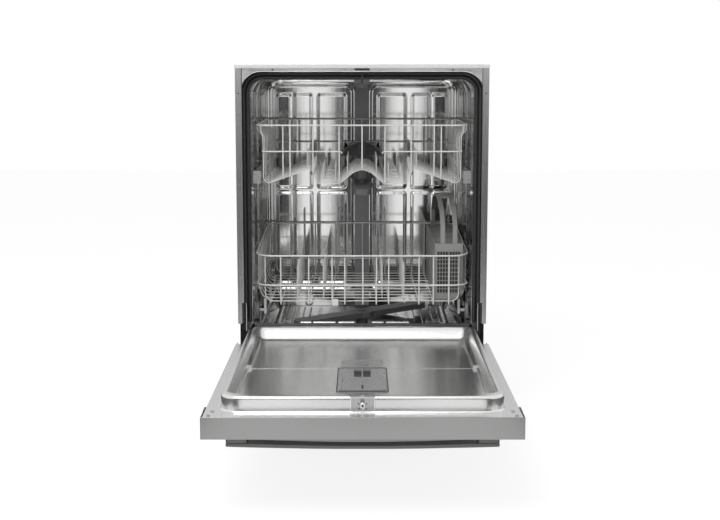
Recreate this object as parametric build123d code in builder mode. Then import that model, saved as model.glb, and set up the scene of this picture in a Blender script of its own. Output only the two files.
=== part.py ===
from math import atan2, cos, degrees, radians, sin
import os

from build123d import *

os.makedirs("parts", exist_ok=True)

# All sizes are millimetres. X runs to the right, Y to the back and Z up.
# The origin lies on the floor, at the centre of the four feet.
# The rest pose has the door open, lying level in front of the cabinet.

# Cabinet
front = -290.0
cabinet_half = 299.0
cabinet_top = 858.5
cabinet_back = front + 568.0
panel_sheet = 1.0
strip_inner = 284.0
strip_low = 292.0
strip_toe = 241.0
toe_depth = 50.0
lid_half = 300.0
lid_top = 860.0
lid_lip_low = 851.0

# Tub
tub_sheet = 1.5
tub_half = 266.0
tub_floor = 190.0
tub_ceiling = 828.0
tub_back = front + 522.0
ledge_top = 235.0
ledge_inner = 242.0
collar_half = 285.0
collar_top = 842.0
collar_depth = 38.0
collar_radius = 47.0
wash_y = front + 282.0

# Door, in its open pose
pivot_y = front - 35.0
pivot_z = 177.0
door_half = 303.0
door_sheet = 1.5
door_face = 161.5
door_flange = 204.0
door_end = front - 717.0
door_heel = front + 12.0
rim_half = 271.0
rim_top = 235.0
rim_end = front - 682.0
rim_heel = front + 5.0
dish_half = 257.0
dish_floor = 207.5
dish_end = front - 656.0
dish_heel = front - 10.0
dish_step = front - 333.0

# Racks
wire = 4.0
thin_wire = 3.0
upper_front = front + 37.0
upper_back = front + 496.0
upper_rim = 718.0
upper_band = 655.0
upper_half = 256.0
upper_wall = 239.5
lower_front = front + 40.0
lower_back = front + 506.0
lower_rim_front = 402.0
lower_rim_back = 430.0
lower_band = 330.0
lower_floor = 289.0
lower_half = 261.0
wheel_radius = 22.0
wheel_inner = 254.5
wheel_width = 8.0
rail_z = 590.0
rail_radius = 12.8
axle_radius = 4.0
running_gap = 0.05

sides = (-1, 1)


def write(piece, node):
    """Label a finished piece and write it as its own file."""
    piece.part.label = node
    export_step(piece.part, f"parts/{node}.step")


def write_welded(pieces, node):
    """Write pieces that only touch at their welds as separate solids in one file."""
    solids = [solid for piece in pieces for solid in piece.solids()]
    welded = Compound(solids)
    welded.label = node
    export_step(welded, f"parts/{node}.step")


def slab(x, y, z, mode=Mode.ADD):
    """A box given by its low and high limits along each axis."""
    (x0, x1), (y0, y1), (z0, z1) = x, y, z
    with Locations(((x0 + x1) / 2, (y0 + y1) / 2, (z0 + z1) / 2)):
        Box(abs(x1 - x0), abs(y1 - y0), abs(z1 - z0), mode=mode)


def side_slab(side, x, y, z, mode=Mode.ADD):
    """A box on one side of the machine, with x measured outwards."""
    slab((side * x[0], side * x[1]), y, z, mode)


def rod(start, end, radius, mode=Mode.ADD):
    """A round bar between two points."""
    direction = Vector(*end) - Vector(*start)
    with BuildSketch(Plane(origin=start, z_dir=direction)) as disc:
        Circle(radius)
    extrude(disc.sketch, amount=direction.length, mode=mode)


def upright(y):
    """A drawing plane square to the depth, with its own Y as height."""
    return Plane.XZ.offset(-y)


def sideways(x):
    """A drawing plane square to the width: its own X is depth and its Y is height."""
    return Plane(origin=(x, 0, 0), x_dir=(0, 1, 0), z_dir=(1, 0, 0))


def ribbon(points, width):
    """The outline of a bent bar of constant width that follows the points."""
    left, right = [], []
    for i, (u, v) in enumerate(points):
        before = points[max(i - 1, 0)]
        after = points[min(i + 1, len(points) - 1)]
        turn_in = atan2(v - before[1], u - before[0])
        turn_out = atan2(after[1] - v, after[0] - u)
        if i == 0:
            turn_in = turn_out
        if i == len(points) - 1:
            turn_out = turn_in
        bend = (turn_out - turn_in + radians(180)) % radians(360) - radians(180)
        heading = turn_in + bend / 2
        reach = width / 2 / cos(bend / 2)
        left.append((u - reach * sin(heading), v + reach * cos(heading)))
        right.append((u + reach * sin(heading), v - reach * cos(heading)))
    return left + right[::-1]


def cross_bar(points, y, size):
    """A bent wire across the width, at one depth, not yet joined to anything."""
    with BuildSketch(upright(y + size / 2)) as bar:
        Polygon(*ribbon(points, size), align=None)
    return extrude(bar.sketch, amount=size, mode=Mode.PRIVATE)


def long_bar(points, x, size):
    """A bent wire along the depth, at one place across the width, not yet joined."""
    with BuildSketch(sideways(x - size / 2)) as bar:
        Polygon(*ribbon(points, size), align=None)
    return extrude(bar.sketch, amount=size, mode=Mode.PRIVATE)


def along(points, x):
    """Height of a bent profile at one place across the width."""
    for (x0, z0), (x1, z1) in zip(points, points[1:]):
        if x0 <= x <= x1 and x1 > x0:
            return z0 + (z1 - z0) * (x - x0) / (x1 - x0)
    return points[-1][1]


def steps(low, high, count):
    """Evenly spaced places from low to high."""
    return [low + (high - low) * i / (count - 1) for i in range(count)]


# Tub: one pressed steel shell with a stepped mouth, wheel ledges and a hole for the sump

def tub_section(y, grow):
    """The tub's inner section, or its outer one when grown by the sheet."""
    corners = [
        (ledge_inner + grow, tub_floor - grow),
        (ledge_inner + grow, ledge_top - grow),
        (tub_half + grow, ledge_top - grow),
        (tub_half + grow, tub_ceiling + grow),
    ]
    mirrored = [(-x, z) for x, z in reversed(corners)]
    with BuildSketch(upright(y)) as section:
        Polygon(*(corners + mirrored), align=None)
        fillet(section.vertices().group_by(Axis.Y)[-1], 40.0 + grow)
        fillet(section.vertices().group_by(Axis.Y)[0], 12.0 + grow)
    return section.sketch


def mouth_section(y, half, low, high, radius):
    """An upright outline with round upper corners."""
    with BuildSketch(upright(y)) as section:
        with Locations((0, (low + high) / 2)):
            Rectangle(2 * half, high - low)
        fillet(section.vertices().group_by(Axis.Y)[-1], radius)
    return section.sketch


collar_low = 245.0
sump_hole = 112.0
step_plate = front + collar_depth + tub_sheet

with BuildPart() as tub:
    outside = tub_section(tub_back + tub_sheet, tub_sheet)
    extrude(outside, amount=tub_back + tub_sheet - front - collar_depth)
    collar_outer = collar_half + tub_sheet
    collar = mouth_section(step_plate, collar_outer, collar_low, collar_top + tub_sheet, collar_radius)
    extrude(collar, amount=step_plate - front)
    slab((-cabinet_half + 3, cabinet_half - 3), (front, front + tub_sheet), (collar_low, 850.5))
    extrude(tub_section(tub_back, 0), amount=tub_back - step_plate, mode=Mode.SUBTRACT)
    doorway = mouth_section(step_plate, tub_half, ledge_top, tub_ceiling, 40.0)
    extrude(doorway, amount=2 * tub_sheet, mode=Mode.SUBTRACT)
    recess = mouth_section(front + collar_depth, collar_half, collar_low - 20, collar_top, collar_radius)
    extrude(recess, amount=collar_depth, mode=Mode.SUBTRACT)
    with Locations((0, wash_y, tub_floor)):
        Cylinder(sump_hole, 20, mode=Mode.SUBTRACT)
write(tub, "tub")

# Back wall embossing: raised frames and panels pressed in the tub's back sheet
emboss = 1.5
frame_low, frame_high = 238.0, 809.0
frame_inner, frame_outer = 24.0, 252.0
panel_high = 785.0
panel_split = 518.0
panel_low = 256.0

with BuildPart() as back_relief:
    for side in sides:
        with BuildSketch(upright(tub_back)):
            with Locations((side * (frame_inner + frame_outer) / 2, (frame_low + frame_high) / 2)):
                RectangleRounded(frame_outer - frame_inner, frame_high - frame_low, 20)
        extrude(amount=emboss)
        for x0, x1 in ((43, 122), (137, 189), (193, 237)):
            for z0, z1 in ((panel_low, panel_split - 5), (panel_split + 5, panel_high)):
                with BuildSketch(upright(tub_back - emboss)):
                    with Locations((side * (x0 + x1) / 2, (z0 + z1) / 2)):
                        RectangleRounded(x1 - x0, z1 - z0, 8)
                extrude(amount=emboss)
write(back_relief, "tub_back_relief")

# Outer casing: lid, two side sheets with front strips, and a back sheet
fixing_z = 792.0
fixing_x = 292.0
fixing_hole = 2.25

with BuildPart() as top_panel:
    slab((-lid_half, lid_half), (front - 3, cabinet_back + 2), (cabinet_top, lid_top))
    slab((-lid_half, lid_half), (front - 3, front - 1.5), (lid_lip_low, lid_top))
    for side in sides:
        side_slab(side, (cabinet_half, lid_half), (front - 1.5, cabinet_back), (lid_lip_low, lid_top))
write(top_panel, "top_panel")

for side, hand in zip(sides, ("left", "right")):
    sheet_inner = cabinet_half - panel_sheet
    with BuildPart() as side_panel:
        with BuildSketch(sideways(side * cabinet_half)):
            Polygon(
                (front - 1.5, strip_toe),
                (front - 1.5, cabinet_top),
                (cabinet_back, cabinet_top),
                (cabinet_back, 24),
                (front + toe_depth, 24),
                (front + toe_depth, strip_toe),
                align=None,
            )
        extrude(amount=-side * panel_sheet)
        side_slab(side, (strip_inner, sheet_inner), (front - 1.5, front), (strip_low, cabinet_top))
        side_slab(side, (289, sheet_inner), (front - 1.5, front), (strip_toe, strip_low))
        with Locations(Location((side * fixing_x, front - 0.75, fixing_z), (90, 0, 0))):
            Cylinder(fixing_hole, 4, mode=Mode.SUBTRACT)
    write(side_panel, f"side_panel_{hand}")

with BuildPart() as back_panel:
    slab((-cabinet_half + 1, cabinet_half - 1), (cabinet_back - 2, cabinet_back), (150, cabinet_top))
write(back_panel, "back_panel")

# Base: plastic tray that carries the tub, with levelling feet and a kick plate
tray_half = 288.0
tray_low, tray_high = 24.0, 186.0
tray_front = front + toe_depth
tray_back = front + 548.0
tray_wall = 3.0
foot_x, foot_y = 250.0, 225.0
foot_pad = 20.0
foot_stem = 5.0
inlet_x, inlet_z = -200.0, 70.0
outlet_x, outlet_z = -120.0, 78.0
cable_x, cable_z = 190.0, 52.0
tub_underside = tub_floor - tub_sheet

with BuildPart() as base_tray:
    slab((-tray_half, tray_half), (tray_front, tray_back), (tray_low, tray_high))
    slab(
        (-tray_half + tray_wall, tray_half - tray_wall),
        (tray_front + tray_wall, tray_back - tray_wall),
        (tray_low + tray_wall, tray_high + 5),
        Mode.SUBTRACT,
    )
    for y in (front + 90, front + 480):
        slab((-tray_half + 1, tray_half - 1), (y, y + tray_wall), (tray_low, tub_underside))
    for x, z, radius in ((inlet_x, inlet_z, 13.4), (outlet_x, outlet_z, 10.2), (cable_x, cable_z, 14)):
        rod((x, tray_back - 10, z), (x, tray_back + 5, z), radius, Mode.SUBTRACT)
    with Locations(Plane.XY.offset(tray_low)):
        with GridLocations(2 * foot_x, 2 * foot_y, 2, 2):
            Cylinder(12, 22, align=(Align.CENTER, Align.CENTER, Align.MIN))
            Cylinder(foot_stem, 22, align=(Align.CENTER, Align.CENTER, Align.MIN), mode=Mode.SUBTRACT)
    rod((outlet_x, front + 470, outlet_z), (outlet_x, front + 490, outlet_z), 10.2, Mode.SUBTRACT)
write(base_tray, "base_tray")

with BuildPart() as levelling_feet:
    with GridLocations(2 * foot_x, 2 * foot_y, 2, 2):
        Cylinder(foot_pad, 8, align=(Align.CENTER, Align.CENTER, Align.MIN))
        Cylinder(9, 14, align=(Align.CENTER, Align.CENTER, Align.MIN))
        Cylinder(foot_stem, 44, align=(Align.CENTER, Align.CENTER, Align.MIN))
write(levelling_feet, "levelling_feet")

with BuildPart() as kick_plate:
    slab((-297, 297), (tray_front - 2, tray_front), (14, 124))
    slab((-297, 297), (tray_front - 12, tray_front - 2), (122, 124))
write(kick_plate, "kick_plate")

# Hinges: a bracket and pin on the cabinet, a spring sleeve on the pin, and an arm in the door
pin_radius = 5.0
nose_radius = 12.0
bracket_inner, bracket_outer = 288.0, 291.0
arm_inner, arm_outer = 294.0, 297.0

with BuildPart() as hinge_brackets:
    for side in sides:
        with BuildSketch(sideways(side * bracket_inner)):
            with Locations((pivot_y, pivot_z)):
                Circle(nose_radius)
            Polygon(
                (pivot_y, pivot_z - nose_radius),
                (pivot_y, pivot_z + nose_radius),
                (tray_front, pivot_z + nose_radius),
                (tray_front + 70, 180),
                (tray_front + 70, 120),
                (tray_front, 120),
                (tray_front, pivot_z - nose_radius),
                align=None,
            )
        extrude(amount=side * (bracket_outer - bracket_inner))
        rod((side * 276, pivot_y, pivot_z), (side * 299, pivot_y, pivot_z), pin_radius)
write(hinge_brackets, "hinge_brackets")

with BuildPart() as hinge_springs:
    for side in sides:
        rod((side * 276, pivot_y, pivot_z), (side * bracket_inner, pivot_y, pivot_z), 10)
        rod((side * 275, pivot_y, pivot_z), (side * bracket_inner, pivot_y, pivot_z), 5.5, Mode.SUBTRACT)
write(hinge_springs, "hinge_springs")

for side, hand in zip(sides, ("left", "right")):
    with BuildPart() as hinge_arm:
        with BuildSketch(sideways(side * arm_inner)):
            with Locations((pivot_y, pivot_z)):
                Circle(nose_radius)
            Polygon(
                (pivot_y, pivot_z - nose_radius),
                (pivot_y, pivot_z + nose_radius),
                (front - 62, pivot_z + nose_radius),
                (front - 62, door_flange - door_sheet),
                (front - 420, door_flange - door_sheet),
                (front - 420, 185),
                (front - 300, pivot_z - nose_radius),
                align=None,
            )
        extrude(amount=side * (arm_outer - arm_inner))
        pin_ends = (side * 290, pivot_y, pivot_z), (side * 299, pivot_y, pivot_z)
        rod(*pin_ends, pin_radius + running_gap, Mode.SUBTRACT)
    write(hinge_arm, f"hinge_arm_{hand}")

# Seals: a rubber loop round the mouth, and a lip along the sill
seal_back = front + collar_depth
seal_front = front + 24.5

with BuildPart() as door_seal:
    outside = mouth_section(seal_back, collar_half - 0.3, 240, collar_top - 0.3, collar_radius - 0.3)
    extrude(outside, amount=seal_back - seal_front)
    inside = mouth_section(seal_back, 267.5, 230, 827.5, 32)
    extrude(inside, amount=seal_back - seal_front, mode=Mode.SUBTRACT)
write(door_seal, "door_seal")

with BuildPart() as sill_seal:
    slab((-262, 262), (front + 27, seal_back), (223, ledge_top))
write(sill_seal, "sill_seal")

# Door catch: a black plate on the mouth's upper flange, and a tongue that the latch takes
with BuildPart() as door_strike:
    slab((-17.5, 17.5), (front - 2.5, front), (845.5, 850.5))
    slab((-17.5, 17.5), (front + 3, front + 18), (collar_top - 1.5, collar_top))
    slab((-2.5, 2.5), (front + 11, front + 14), (816, collar_top - 1))
write(door_strike, "door_strike")

# Water feed: a flat duct up the back wall and along the ceiling, a docking port and a sprinkler
duct_half = 20.0
duct_front = front + 508.5
sprinkler_y = front + 290.0
port_z = 586.0

with BuildPart() as water_duct:
    slab((-duct_half, duct_half), (duct_front, tub_back), (tub_floor + 3, tub_ceiling))
    slab((-duct_half, duct_half), (sprinkler_y - 20, tub_back), (813, tub_ceiling))
write(water_duct, "water_duct")

with BuildPart() as duct_port:
    rod((0, duct_front, port_z), (0, front + 499, port_z), 15)
    rod((0, duct_front + 1, port_z), (0, front + 498, port_z), 11.5, Mode.SUBTRACT)
write(duct_port, "duct_port")

with BuildPart() as top_sprinkler:
    with Locations((0, sprinkler_y, 813)):
        Cylinder(22, 6, align=(Align.CENTER, Align.CENTER, Align.MAX))
    with Locations((0, sprinkler_y, 807)):
        Cylinder(16, 5, align=(Align.CENTER, Align.CENTER, Align.MAX))
write(top_sprinkler, "top_sprinkler")

# Sump in the tub floor, with its filters and the bearing post of the lower spray arm
sump_low = 112.0
post_radius = 15.0
hub_radius = 9.0
cup_x = 57.0
cup_radius = 29.0

with BuildPart() as sump:
    with BuildSketch(upright(wash_y)):
        Polygon(
            (0, sump_low),
            (90, sump_low),
            (sump_hole - 3, tub_floor - 25),
            (sump_hole - 0.5, tub_floor),
            (sump_hole + 6, tub_floor),
            (sump_hole + 6, tub_floor + 2.5),
            (sump_hole - 4, tub_floor + 2.5),
            (sump_hole - 6, tub_floor - 25),
            (88, sump_low + 3),
            (post_radius, sump_low + 3),
            (post_radius, 205),
            (hub_radius, 205),
            (hub_radius, 224),
            (0, 224),
            align=None,
        )
    revolve(axis=Axis((0, wash_y, 0), (0, 0, 1)))
write(sump, "sump")

with BuildPart() as filter_plate:
    with Locations((0, wash_y, tub_floor - 14)):
        Cylinder(104, 2.5)
        Cylinder(post_radius + 0.5, 10, mode=Mode.SUBTRACT)
    with Locations((cup_x, wash_y, tub_floor - 14)):
        Cylinder(cup_radius + 0.4, 10, mode=Mode.SUBTRACT)
write(filter_plate, "filter_plate")

with BuildPart() as filter_cup:
    with Locations((cup_x, wash_y, 120)):
        Cylinder(cup_radius, 62, align=(Align.CENTER, Align.CENTER, Align.MIN))
        Cylinder(cup_radius - 2, 70, align=(Align.CENTER, Align.CENTER, Align.MIN), mode=Mode.SUBTRACT)
        Cylinder(cup_radius - 1, 2, align=(Align.CENTER, Align.CENTER, Align.MIN))
    slab((cup_x - cup_radius + 1, cup_x + cup_radius - 1), (wash_y - 2, wash_y + 2), (150, 196))
write(filter_cup, "filter_cup")

# Pumps, valve and wiring box in the base
pump_z = 69.0
with BuildPart() as wash_pump:
    rod((-30, wash_y - 60, pump_z), (150, wash_y - 60, pump_z), 40)
    rod((150, wash_y - 60, pump_z), (166, wash_y - 60, pump_z), 30)
    rod((-10, wash_y - 60, pump_z), (-10, wash_y - 60, sump_low), 16)
write(wash_pump, "wash_pump")

with BuildPart() as drain_pump:
    rod((outlet_x, wash_y + 40, outlet_z), (outlet_x, wash_y + 110, outlet_z), 26)
    rod((outlet_x, wash_y + 110, outlet_z), (outlet_x, tray_back, outlet_z), 8.6)
    rod((outlet_x, tray_back, outlet_z), (outlet_x, cabinet_back, outlet_z), 9.5)
    rod((outlet_x, wash_y + 100, outlet_z), (outlet_x, cabinet_back + 1, outlet_z), 7, Mode.SUBTRACT)
    rod((outlet_x + 20, wash_y + 60, outlet_z), (outlet_x + 52, wash_y + 60, outlet_z), 12)
    rod((outlet_x + 52, wash_y + 60, outlet_z - 12), (outlet_x + 52, wash_y + 60, sump_low), 12)
write(drain_pump, "drain_pump")

with BuildPart() as inlet_valve:
    slab((inlet_x - 24, inlet_x + 24), (tray_back - 60, tray_back - 20), (inlet_z - 22, inlet_z + 34))
    rod((inlet_x, tray_back - 20, inlet_z), (inlet_x, tray_back, inlet_z), 12)
    rod((inlet_x, tray_back, inlet_z), (inlet_x, cabinet_back, inlet_z), 13.2)
    rod((inlet_x, tray_back - 30, inlet_z), (inlet_x, cabinet_back + 1, inlet_z), 8, Mode.SUBTRACT)
    rod((inlet_x, tray_back - 40, inlet_z + 34), (inlet_x, tray_back - 40, inlet_z + 60), 14)
    slab((inlet_x - 24, inlet_x + 24), (tray_back - 60, tray_back - 20), (tray_low + 3, inlet_z - 21))
write(inlet_valve, "inlet_valve")

box_near, box_far = tray_back - 61.0, tray_back - tray_wall
with BuildPart() as junction_box:
    slab((cable_x - 40, cable_x + 40), (box_near, box_far), (cable_z - 25, cable_z + 25))
    inside_z = (cable_z - 23, cable_z + 23)
    slab((cable_x - 38, cable_x + 38), (box_near + 2, box_far - 2), inside_z, Mode.SUBTRACT)
    rod((cable_x, box_far - 5, cable_z), (cable_x, box_far + 5, cable_z), 11, Mode.SUBTRACT)
write(junction_box, "junction_box")

# Door shells: an outer skin folded up round its edges, and a pressed inner liner with a deep dish
def plan(z, half, y_near, y_far, radius):
    """A level outline with round corners, symmetric about the middle."""
    with BuildSketch(Plane.XY.offset(z)) as outline:
        with Locations((0, (y_near + y_far) / 2)):
            RectangleRounded(2 * half, y_far - y_near, radius)
    return outline.sketch


button_x = (-210.0, -150.0, -90.0, 150.0)
button_y = door_end + 22.0
button_half = (14.0, 7.0)

with BuildPart() as door_panel:
    slab((-door_half, door_half), (door_end, door_heel), (door_face, door_flange))
    slab(
        (-door_half + door_sheet, door_half - door_sheet),
        (door_end + door_sheet, door_heel + 1),
        (door_face + door_sheet, door_flange + 1),
        Mode.SUBTRACT,
    )
    for side in sides:
        edge_gap = (door_end + 40, door_heel + 1)
        side_slab(side, (door_half - 5, door_half + 1), edge_gap, (192, 210), Mode.SUBTRACT)
    with Locations(*[(x, button_y, door_face) for x in button_x]):
        Box(2 * button_half[0] + 1, 2 * button_half[1] + 1, 10, mode=Mode.SUBTRACT)
write(door_panel, "door_panel")

liner_half = 299.5
latch_half = 24.0
latch_depth = 18.0
tray_x, tray_near = 53.0, front - 541.0
dispenser_far = front - 331.0
apron_x, apron_far, apron_radius = 46.0, front - 248.0, 12.0
well_half_near, well_half_far = 248.0, 239.0


def apron(z, inset=0.0):
    """Outline of the dispenser's narrow far part, which runs on from its wide part."""
    return plan(z, apron_x - inset, dispenser_far - 20, apron_far - inset, apron_radius - inset)


with BuildPart() as door_liner:
    flange_low = door_flange - door_sheet
    slab((-liner_half, liner_half), (door_end + door_sheet, front - 62), (flange_low, door_flange))
    extrude(plan(flange_low, rim_half, rim_end, rim_heel, 38), amount=rim_top - flange_low)
    inner_end, inner_heel = rim_end + door_sheet, rim_heel - door_sheet
    hollow = plan(flange_low - 3, rim_half - door_sheet, inner_end, inner_heel, 36.5)
    extrude(hollow, amount=rim_top - flange_low + 3 - door_sheet, mode=Mode.SUBTRACT)
    dish_outside = [
        plan(rim_top, dish_half + door_sheet, dish_end - door_sheet, dish_heel + door_sheet, 24),
        plan(dish_floor - door_sheet, well_half_near + door_sheet, dish_end + 3, dish_heel - 20, 22),
    ]
    loft(dish_outside)
    dish_inside = [
        plan(rim_top + 0.01, dish_half, dish_end, dish_heel, 22.5),
        plan(dish_floor, well_half_near, dish_end + 5, dish_heel - 22, 20.5),
    ]
    loft(dish_inside, mode=Mode.SUBTRACT)
    for side in sides:
        step_length = (dish_step, dish_heel - 24)
        side_slab(side, (well_half_far, dish_half - 6), step_length, (dish_floor - 1, dish_floor + 9))
    latch_room = (rim_end - 1, rim_end + latch_depth)
    slab((-latch_half, latch_half), latch_room, (door_flange + 1, rim_top + 1), Mode.SUBTRACT)
    slab((-tray_x + 4, tray_x - 4), (tray_near + 4, dispenser_far - 4), (190, 214), Mode.SUBTRACT)
    slab((-tray_x, tray_x), (tray_near, dispenser_far), (dish_floor - 3, dish_floor), Mode.SUBTRACT)
    extrude(apron(dish_floor - 3), amount=3, mode=Mode.SUBTRACT)
write(door_liner, "door_liner")

# Handle: two end posts and a bowed bar below the door's outer face
post_inner, post_outer = 220.0, 261.0
grip_near, grip_far = door_end + 45.0, door_end + 73.0
bar_top, bar_low = 141.0, 134.0
bow = 4.5

with BuildPart() as handle_posts:
    for side in sides:
        side_slab(side, (post_inner, post_outer), (grip_near, grip_far), (bar_top, door_face))
    fillet(handle_posts.edges().filter_by(Axis.Z), 4)
write(handle_posts, "handle_posts")

with BuildPart() as handle_bar:
    with BuildSketch(upright(grip_far)):
        with BuildLine():
            Line((-post_outer, bar_low), (-post_outer, bar_top))
            Line((-post_outer, bar_top), (-post_inner + 10, bar_top))
            ThreePointArc((-post_inner + 10, bar_top), (0, bar_top - bow), (post_inner - 10, bar_top))
            Line((post_inner - 10, bar_top), (post_outer, bar_top))
            Line((post_outer, bar_top), (post_outer, bar_low))
            ThreePointArc((post_outer, bar_low), (0, bar_low - bow), (-post_outer, bar_low))
        make_face()
    extrude(amount=grip_far - grip_near)
write(handle_bar, "handle_bar")

# Latch in the door's end wall: a slotted body and a sprung plunger
plunger_z = 216.5
plunger_radius = 5.0

with BuildPart() as latch_body:
    body_half = latch_half - 0.2
    slab((-body_half, body_half), (rim_end, rim_end + latch_depth - 0.2), (door_flange + 1.2, rim_top))
    slab((-4, 4), (rim_end - 1, rim_end + 13), (222.2, rim_top + 1), Mode.SUBTRACT)
    rod((0, rim_end - 1, plunger_z), (0, rim_end + 12, plunger_z), plunger_radius + 0.7, Mode.SUBTRACT)
    rod((0, rim_end - 1, plunger_z), (0, rim_end + 1.2, plunger_z), plunger_radius + 2, Mode.SUBTRACT)
write(latch_body, "latch_body")

with BuildPart() as latch_plunger:
    rod((0, rim_end + 0.3, plunger_z), (0, rim_end + 6.5, plunger_z), plunger_radius)
write(latch_plunger, "latch_plunger")

# Control keys: four push buttons in the strip above the handle, with the board that backs them
key_travel = 1.2
for number, x in enumerate(button_x, 1):
    with BuildPart() as key:
        slab(
            (x - button_half[0], x + button_half[0]),
            (button_y - button_half[1], button_y + button_half[1]),
            (door_face - 1.5, door_face + 3.5),
        )
        slab(
            (x - button_half[0] - 3, x + button_half[0] + 3),
            (button_y - button_half[1] - 3, button_y + button_half[1] + 3),
            (door_face + door_sheet, door_face + 3.5),
        )
    write(key, f"control_key_{number}")

with BuildPart() as control_board:
    slab((-250, 250), (door_end + 4, door_end + 60), (door_face + 8, door_face + 24))
    slab((-248, 248), (door_end + 6, door_end + 58), (door_face + 10, door_face + 22), Mode.SUBTRACT)
    for x in (-246, 246):
        slab((x - 4, x + 4), (door_end + 6, door_end + 58), (door_face + door_sheet, door_face + 8))
write(control_board, "control_board")

# Detergent dispenser: a body let into the dish floor, a sliding lid over the powder cup, a rinse cap
lid_near, lid_far = tray_near + 6.0, tray_near + 66.0
lid_travel = 52.0
lid_x = 44.0
lid_z = dish_floor + 1.0
lid_thick = 3.0
rinse_y = front - 296.0
rinse_radius = 14.0
window_x, window_y = (1.8, 17.6), (front - 412.0, front - 341.0)
guide_length = (lid_near, lid_far + lid_travel + 1)

with BuildPart() as dispenser_body:
    slab((-tray_x, tray_x), (tray_near, dispenser_far), (dish_floor - door_sheet, lid_z))
    extrude(apron(dish_floor - door_sheet), amount=lid_z - dish_floor + door_sheet)
    slab((-tray_x + 5, tray_x - 5), (tray_near + 5, dispenser_far - 5), (176, dish_floor))
    extrude(apron(176, 5), amount=dish_floor - 176)
    slab((-38, 38), (lid_near + 7, lid_far - 7), (180, lid_z + 1), Mode.SUBTRACT)
    for side in sides:
        side_slab(side, window_x, window_y, (lid_z - 6, lid_z + 1), Mode.SUBTRACT)
        side_slab(side, (lid_x + 0.3, lid_x + 3), guide_length, (lid_z - 1, lid_z + 4.4))
        side_slab(side, (lid_x - 2, lid_x + 3), guide_length, (lid_z + 3.5, lid_z + 4.4))
    rod((0, rinse_y, lid_z - 7), (0, rinse_y, lid_z + 1), rinse_radius - 3 + running_gap, Mode.SUBTRACT)
write(dispenser_body, "dispenser_body")

with BuildPart() as dispenser_lid:
    slab((-lid_x, lid_x), (lid_near, lid_far), (lid_z + 0.2, lid_z + 0.2 + lid_thick))
    slab((-2, 2), (lid_near + 8, lid_near + 45), (lid_z + 2, lid_z + 4), Mode.SUBTRACT)
write(dispenser_lid, "dispenser_lid")

with BuildPart() as rinse_cap:
    with Locations((0, rinse_y, lid_z - 6.8)):
        Cylinder(rinse_radius - 3, 6.8, align=(Align.CENTER, Align.CENTER, Align.MIN))
    with Locations((0, rinse_y, lid_z + 0.1)):
        Cylinder(rinse_radius, 3, align=(Align.CENTER, Align.CENTER, Align.MIN))
    slab((-rinse_radius + 3, rinse_radius - 3), (rinse_y - 2, rinse_y + 2), (lid_z + 2, lid_z + 6))
    slab((-3, 3), (rinse_y - 3, rinse_y + 3), (lid_z - 1, lid_z + 2))
write(rinse_cap, "rinse_cap")

# Upper rack: bent cross wires and long wires inside two rims, with wheel carriers on both sides
# The wires lie against each other and are welded where they touch.
upper_floor = [
    (0.0, 611.0),
    (22.0, 603.0),
    (54.0, 575.5),
    (108.0, 576.5),
    (123.0, 613.0),
    (150.0, 603.0),
    (226.0, 577.0),
    (237.0, 586.0),
    (238.0, 688.0),
]
upper_side = upper_floor + [(254.0, 701.0), (254.0, upper_rim - wire)]
upper_end = upper_floor + [(242.5, 701.0), (242.5, upper_rim - wire)]
upper_rows = steps(upper_front + 7.5, upper_back - 7.5, 10)
upper_bars = (-190, -173, -123, -55, 0, 55, 123, 173, 190)
rack_wheel_y = (front + 340.0, front + 440.0)


def mirrored(points):
    """A whole profile from its right half, which starts on the middle line."""
    return [(-x, z) for x, z in reversed(points[1:])] + points


def under(points, x):
    """Height just below a bent cross wire, over the width of a long wire that it lies on."""
    edge = ribbon(points, thin_wire)[len(points):][::-1]
    heights = [along(edge, x + shift) for shift in (-thin_wire / 2, 0, thin_wire / 2)]
    corners = [z for place, z in edge if abs(place - x) < thin_wire / 2]
    return min(heights + corners)


def rim(z, half, y_near, y_far, radius, size):
    """A level closed wire loop with round corners, its upper side at z."""
    with BuildPart() as loop:
        extrude(plan(z - size, half, y_near, y_far, radius), amount=size)
        inside = plan(z - size, half - size, y_near + size, y_far - size, radius - size)
        extrude(inside, amount=size, mode=Mode.SUBTRACT)
    return loop.part


upper_wires = [
    rim(upper_rim, upper_half, upper_front, upper_back, 30, wire),
    rim(upper_band, upper_wall + thin_wire, upper_front, upper_back, 6, thin_wire),
]
for y in upper_rows:
    row = upper_side if upper_rows[0] < y < upper_rows[-1] else upper_end
    upper_wires.append(cross_bar(mirrored(row), y, thin_wire))
for x in upper_bars:
    low = under(mirrored(upper_side), x) - thin_wire / 2
    frame = [
        (upper_front + 4.5, upper_rim - wire),
        (upper_front + 4.5, low),
        (upper_back - 4.5, low),
        (upper_back - 4.5, upper_rim - wire),
    ]
    upper_wires.append(long_bar(frame, x, thin_wire))
middle_wire_low = under(mirrored(upper_side), 0) - thin_wire
for side in sides:
    for y in rack_wheel_y:
        with BuildPart() as carrier:
            side_slab(side, (upper_wall, 243), (y - 12, y + 12), (rail_z - 12, rail_z + 30))
            rod((side * 242, y, rail_z), (side * 253.5, y, rail_z), axle_radius)
        upper_wires.append(carrier.part)
write_welded(upper_wires, "upper_rack")

# Slide rails: an H section that runs on rollers of the tub, and carries the rack's own wheels
rail_near, rail_far = front + 62.0, front + 482.0
rail_half = 15.0
tub_roller_y = (front + 80.0, front + 235.0)

for side, hand in zip(sides, ("left", "right")):
    with BuildPart() as slide_rail:
        side_slab(side, (254.2, 255.8), (rail_near, rail_far), (rail_z - rail_half, rail_z + rail_half))
        for z in (rail_z - rail_half, rail_z + rail_half - 2):
            side_slab(side, (246, 264), (rail_near, rail_far), (z, z + 2))
        for y in (rail_near, rail_far - 2):
            side_slab(side, (246, 264), (y, y + 2), (rail_z - rail_half, rail_z + rail_half))
    write(slide_rail, f"slide_rail_{hand}")

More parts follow.
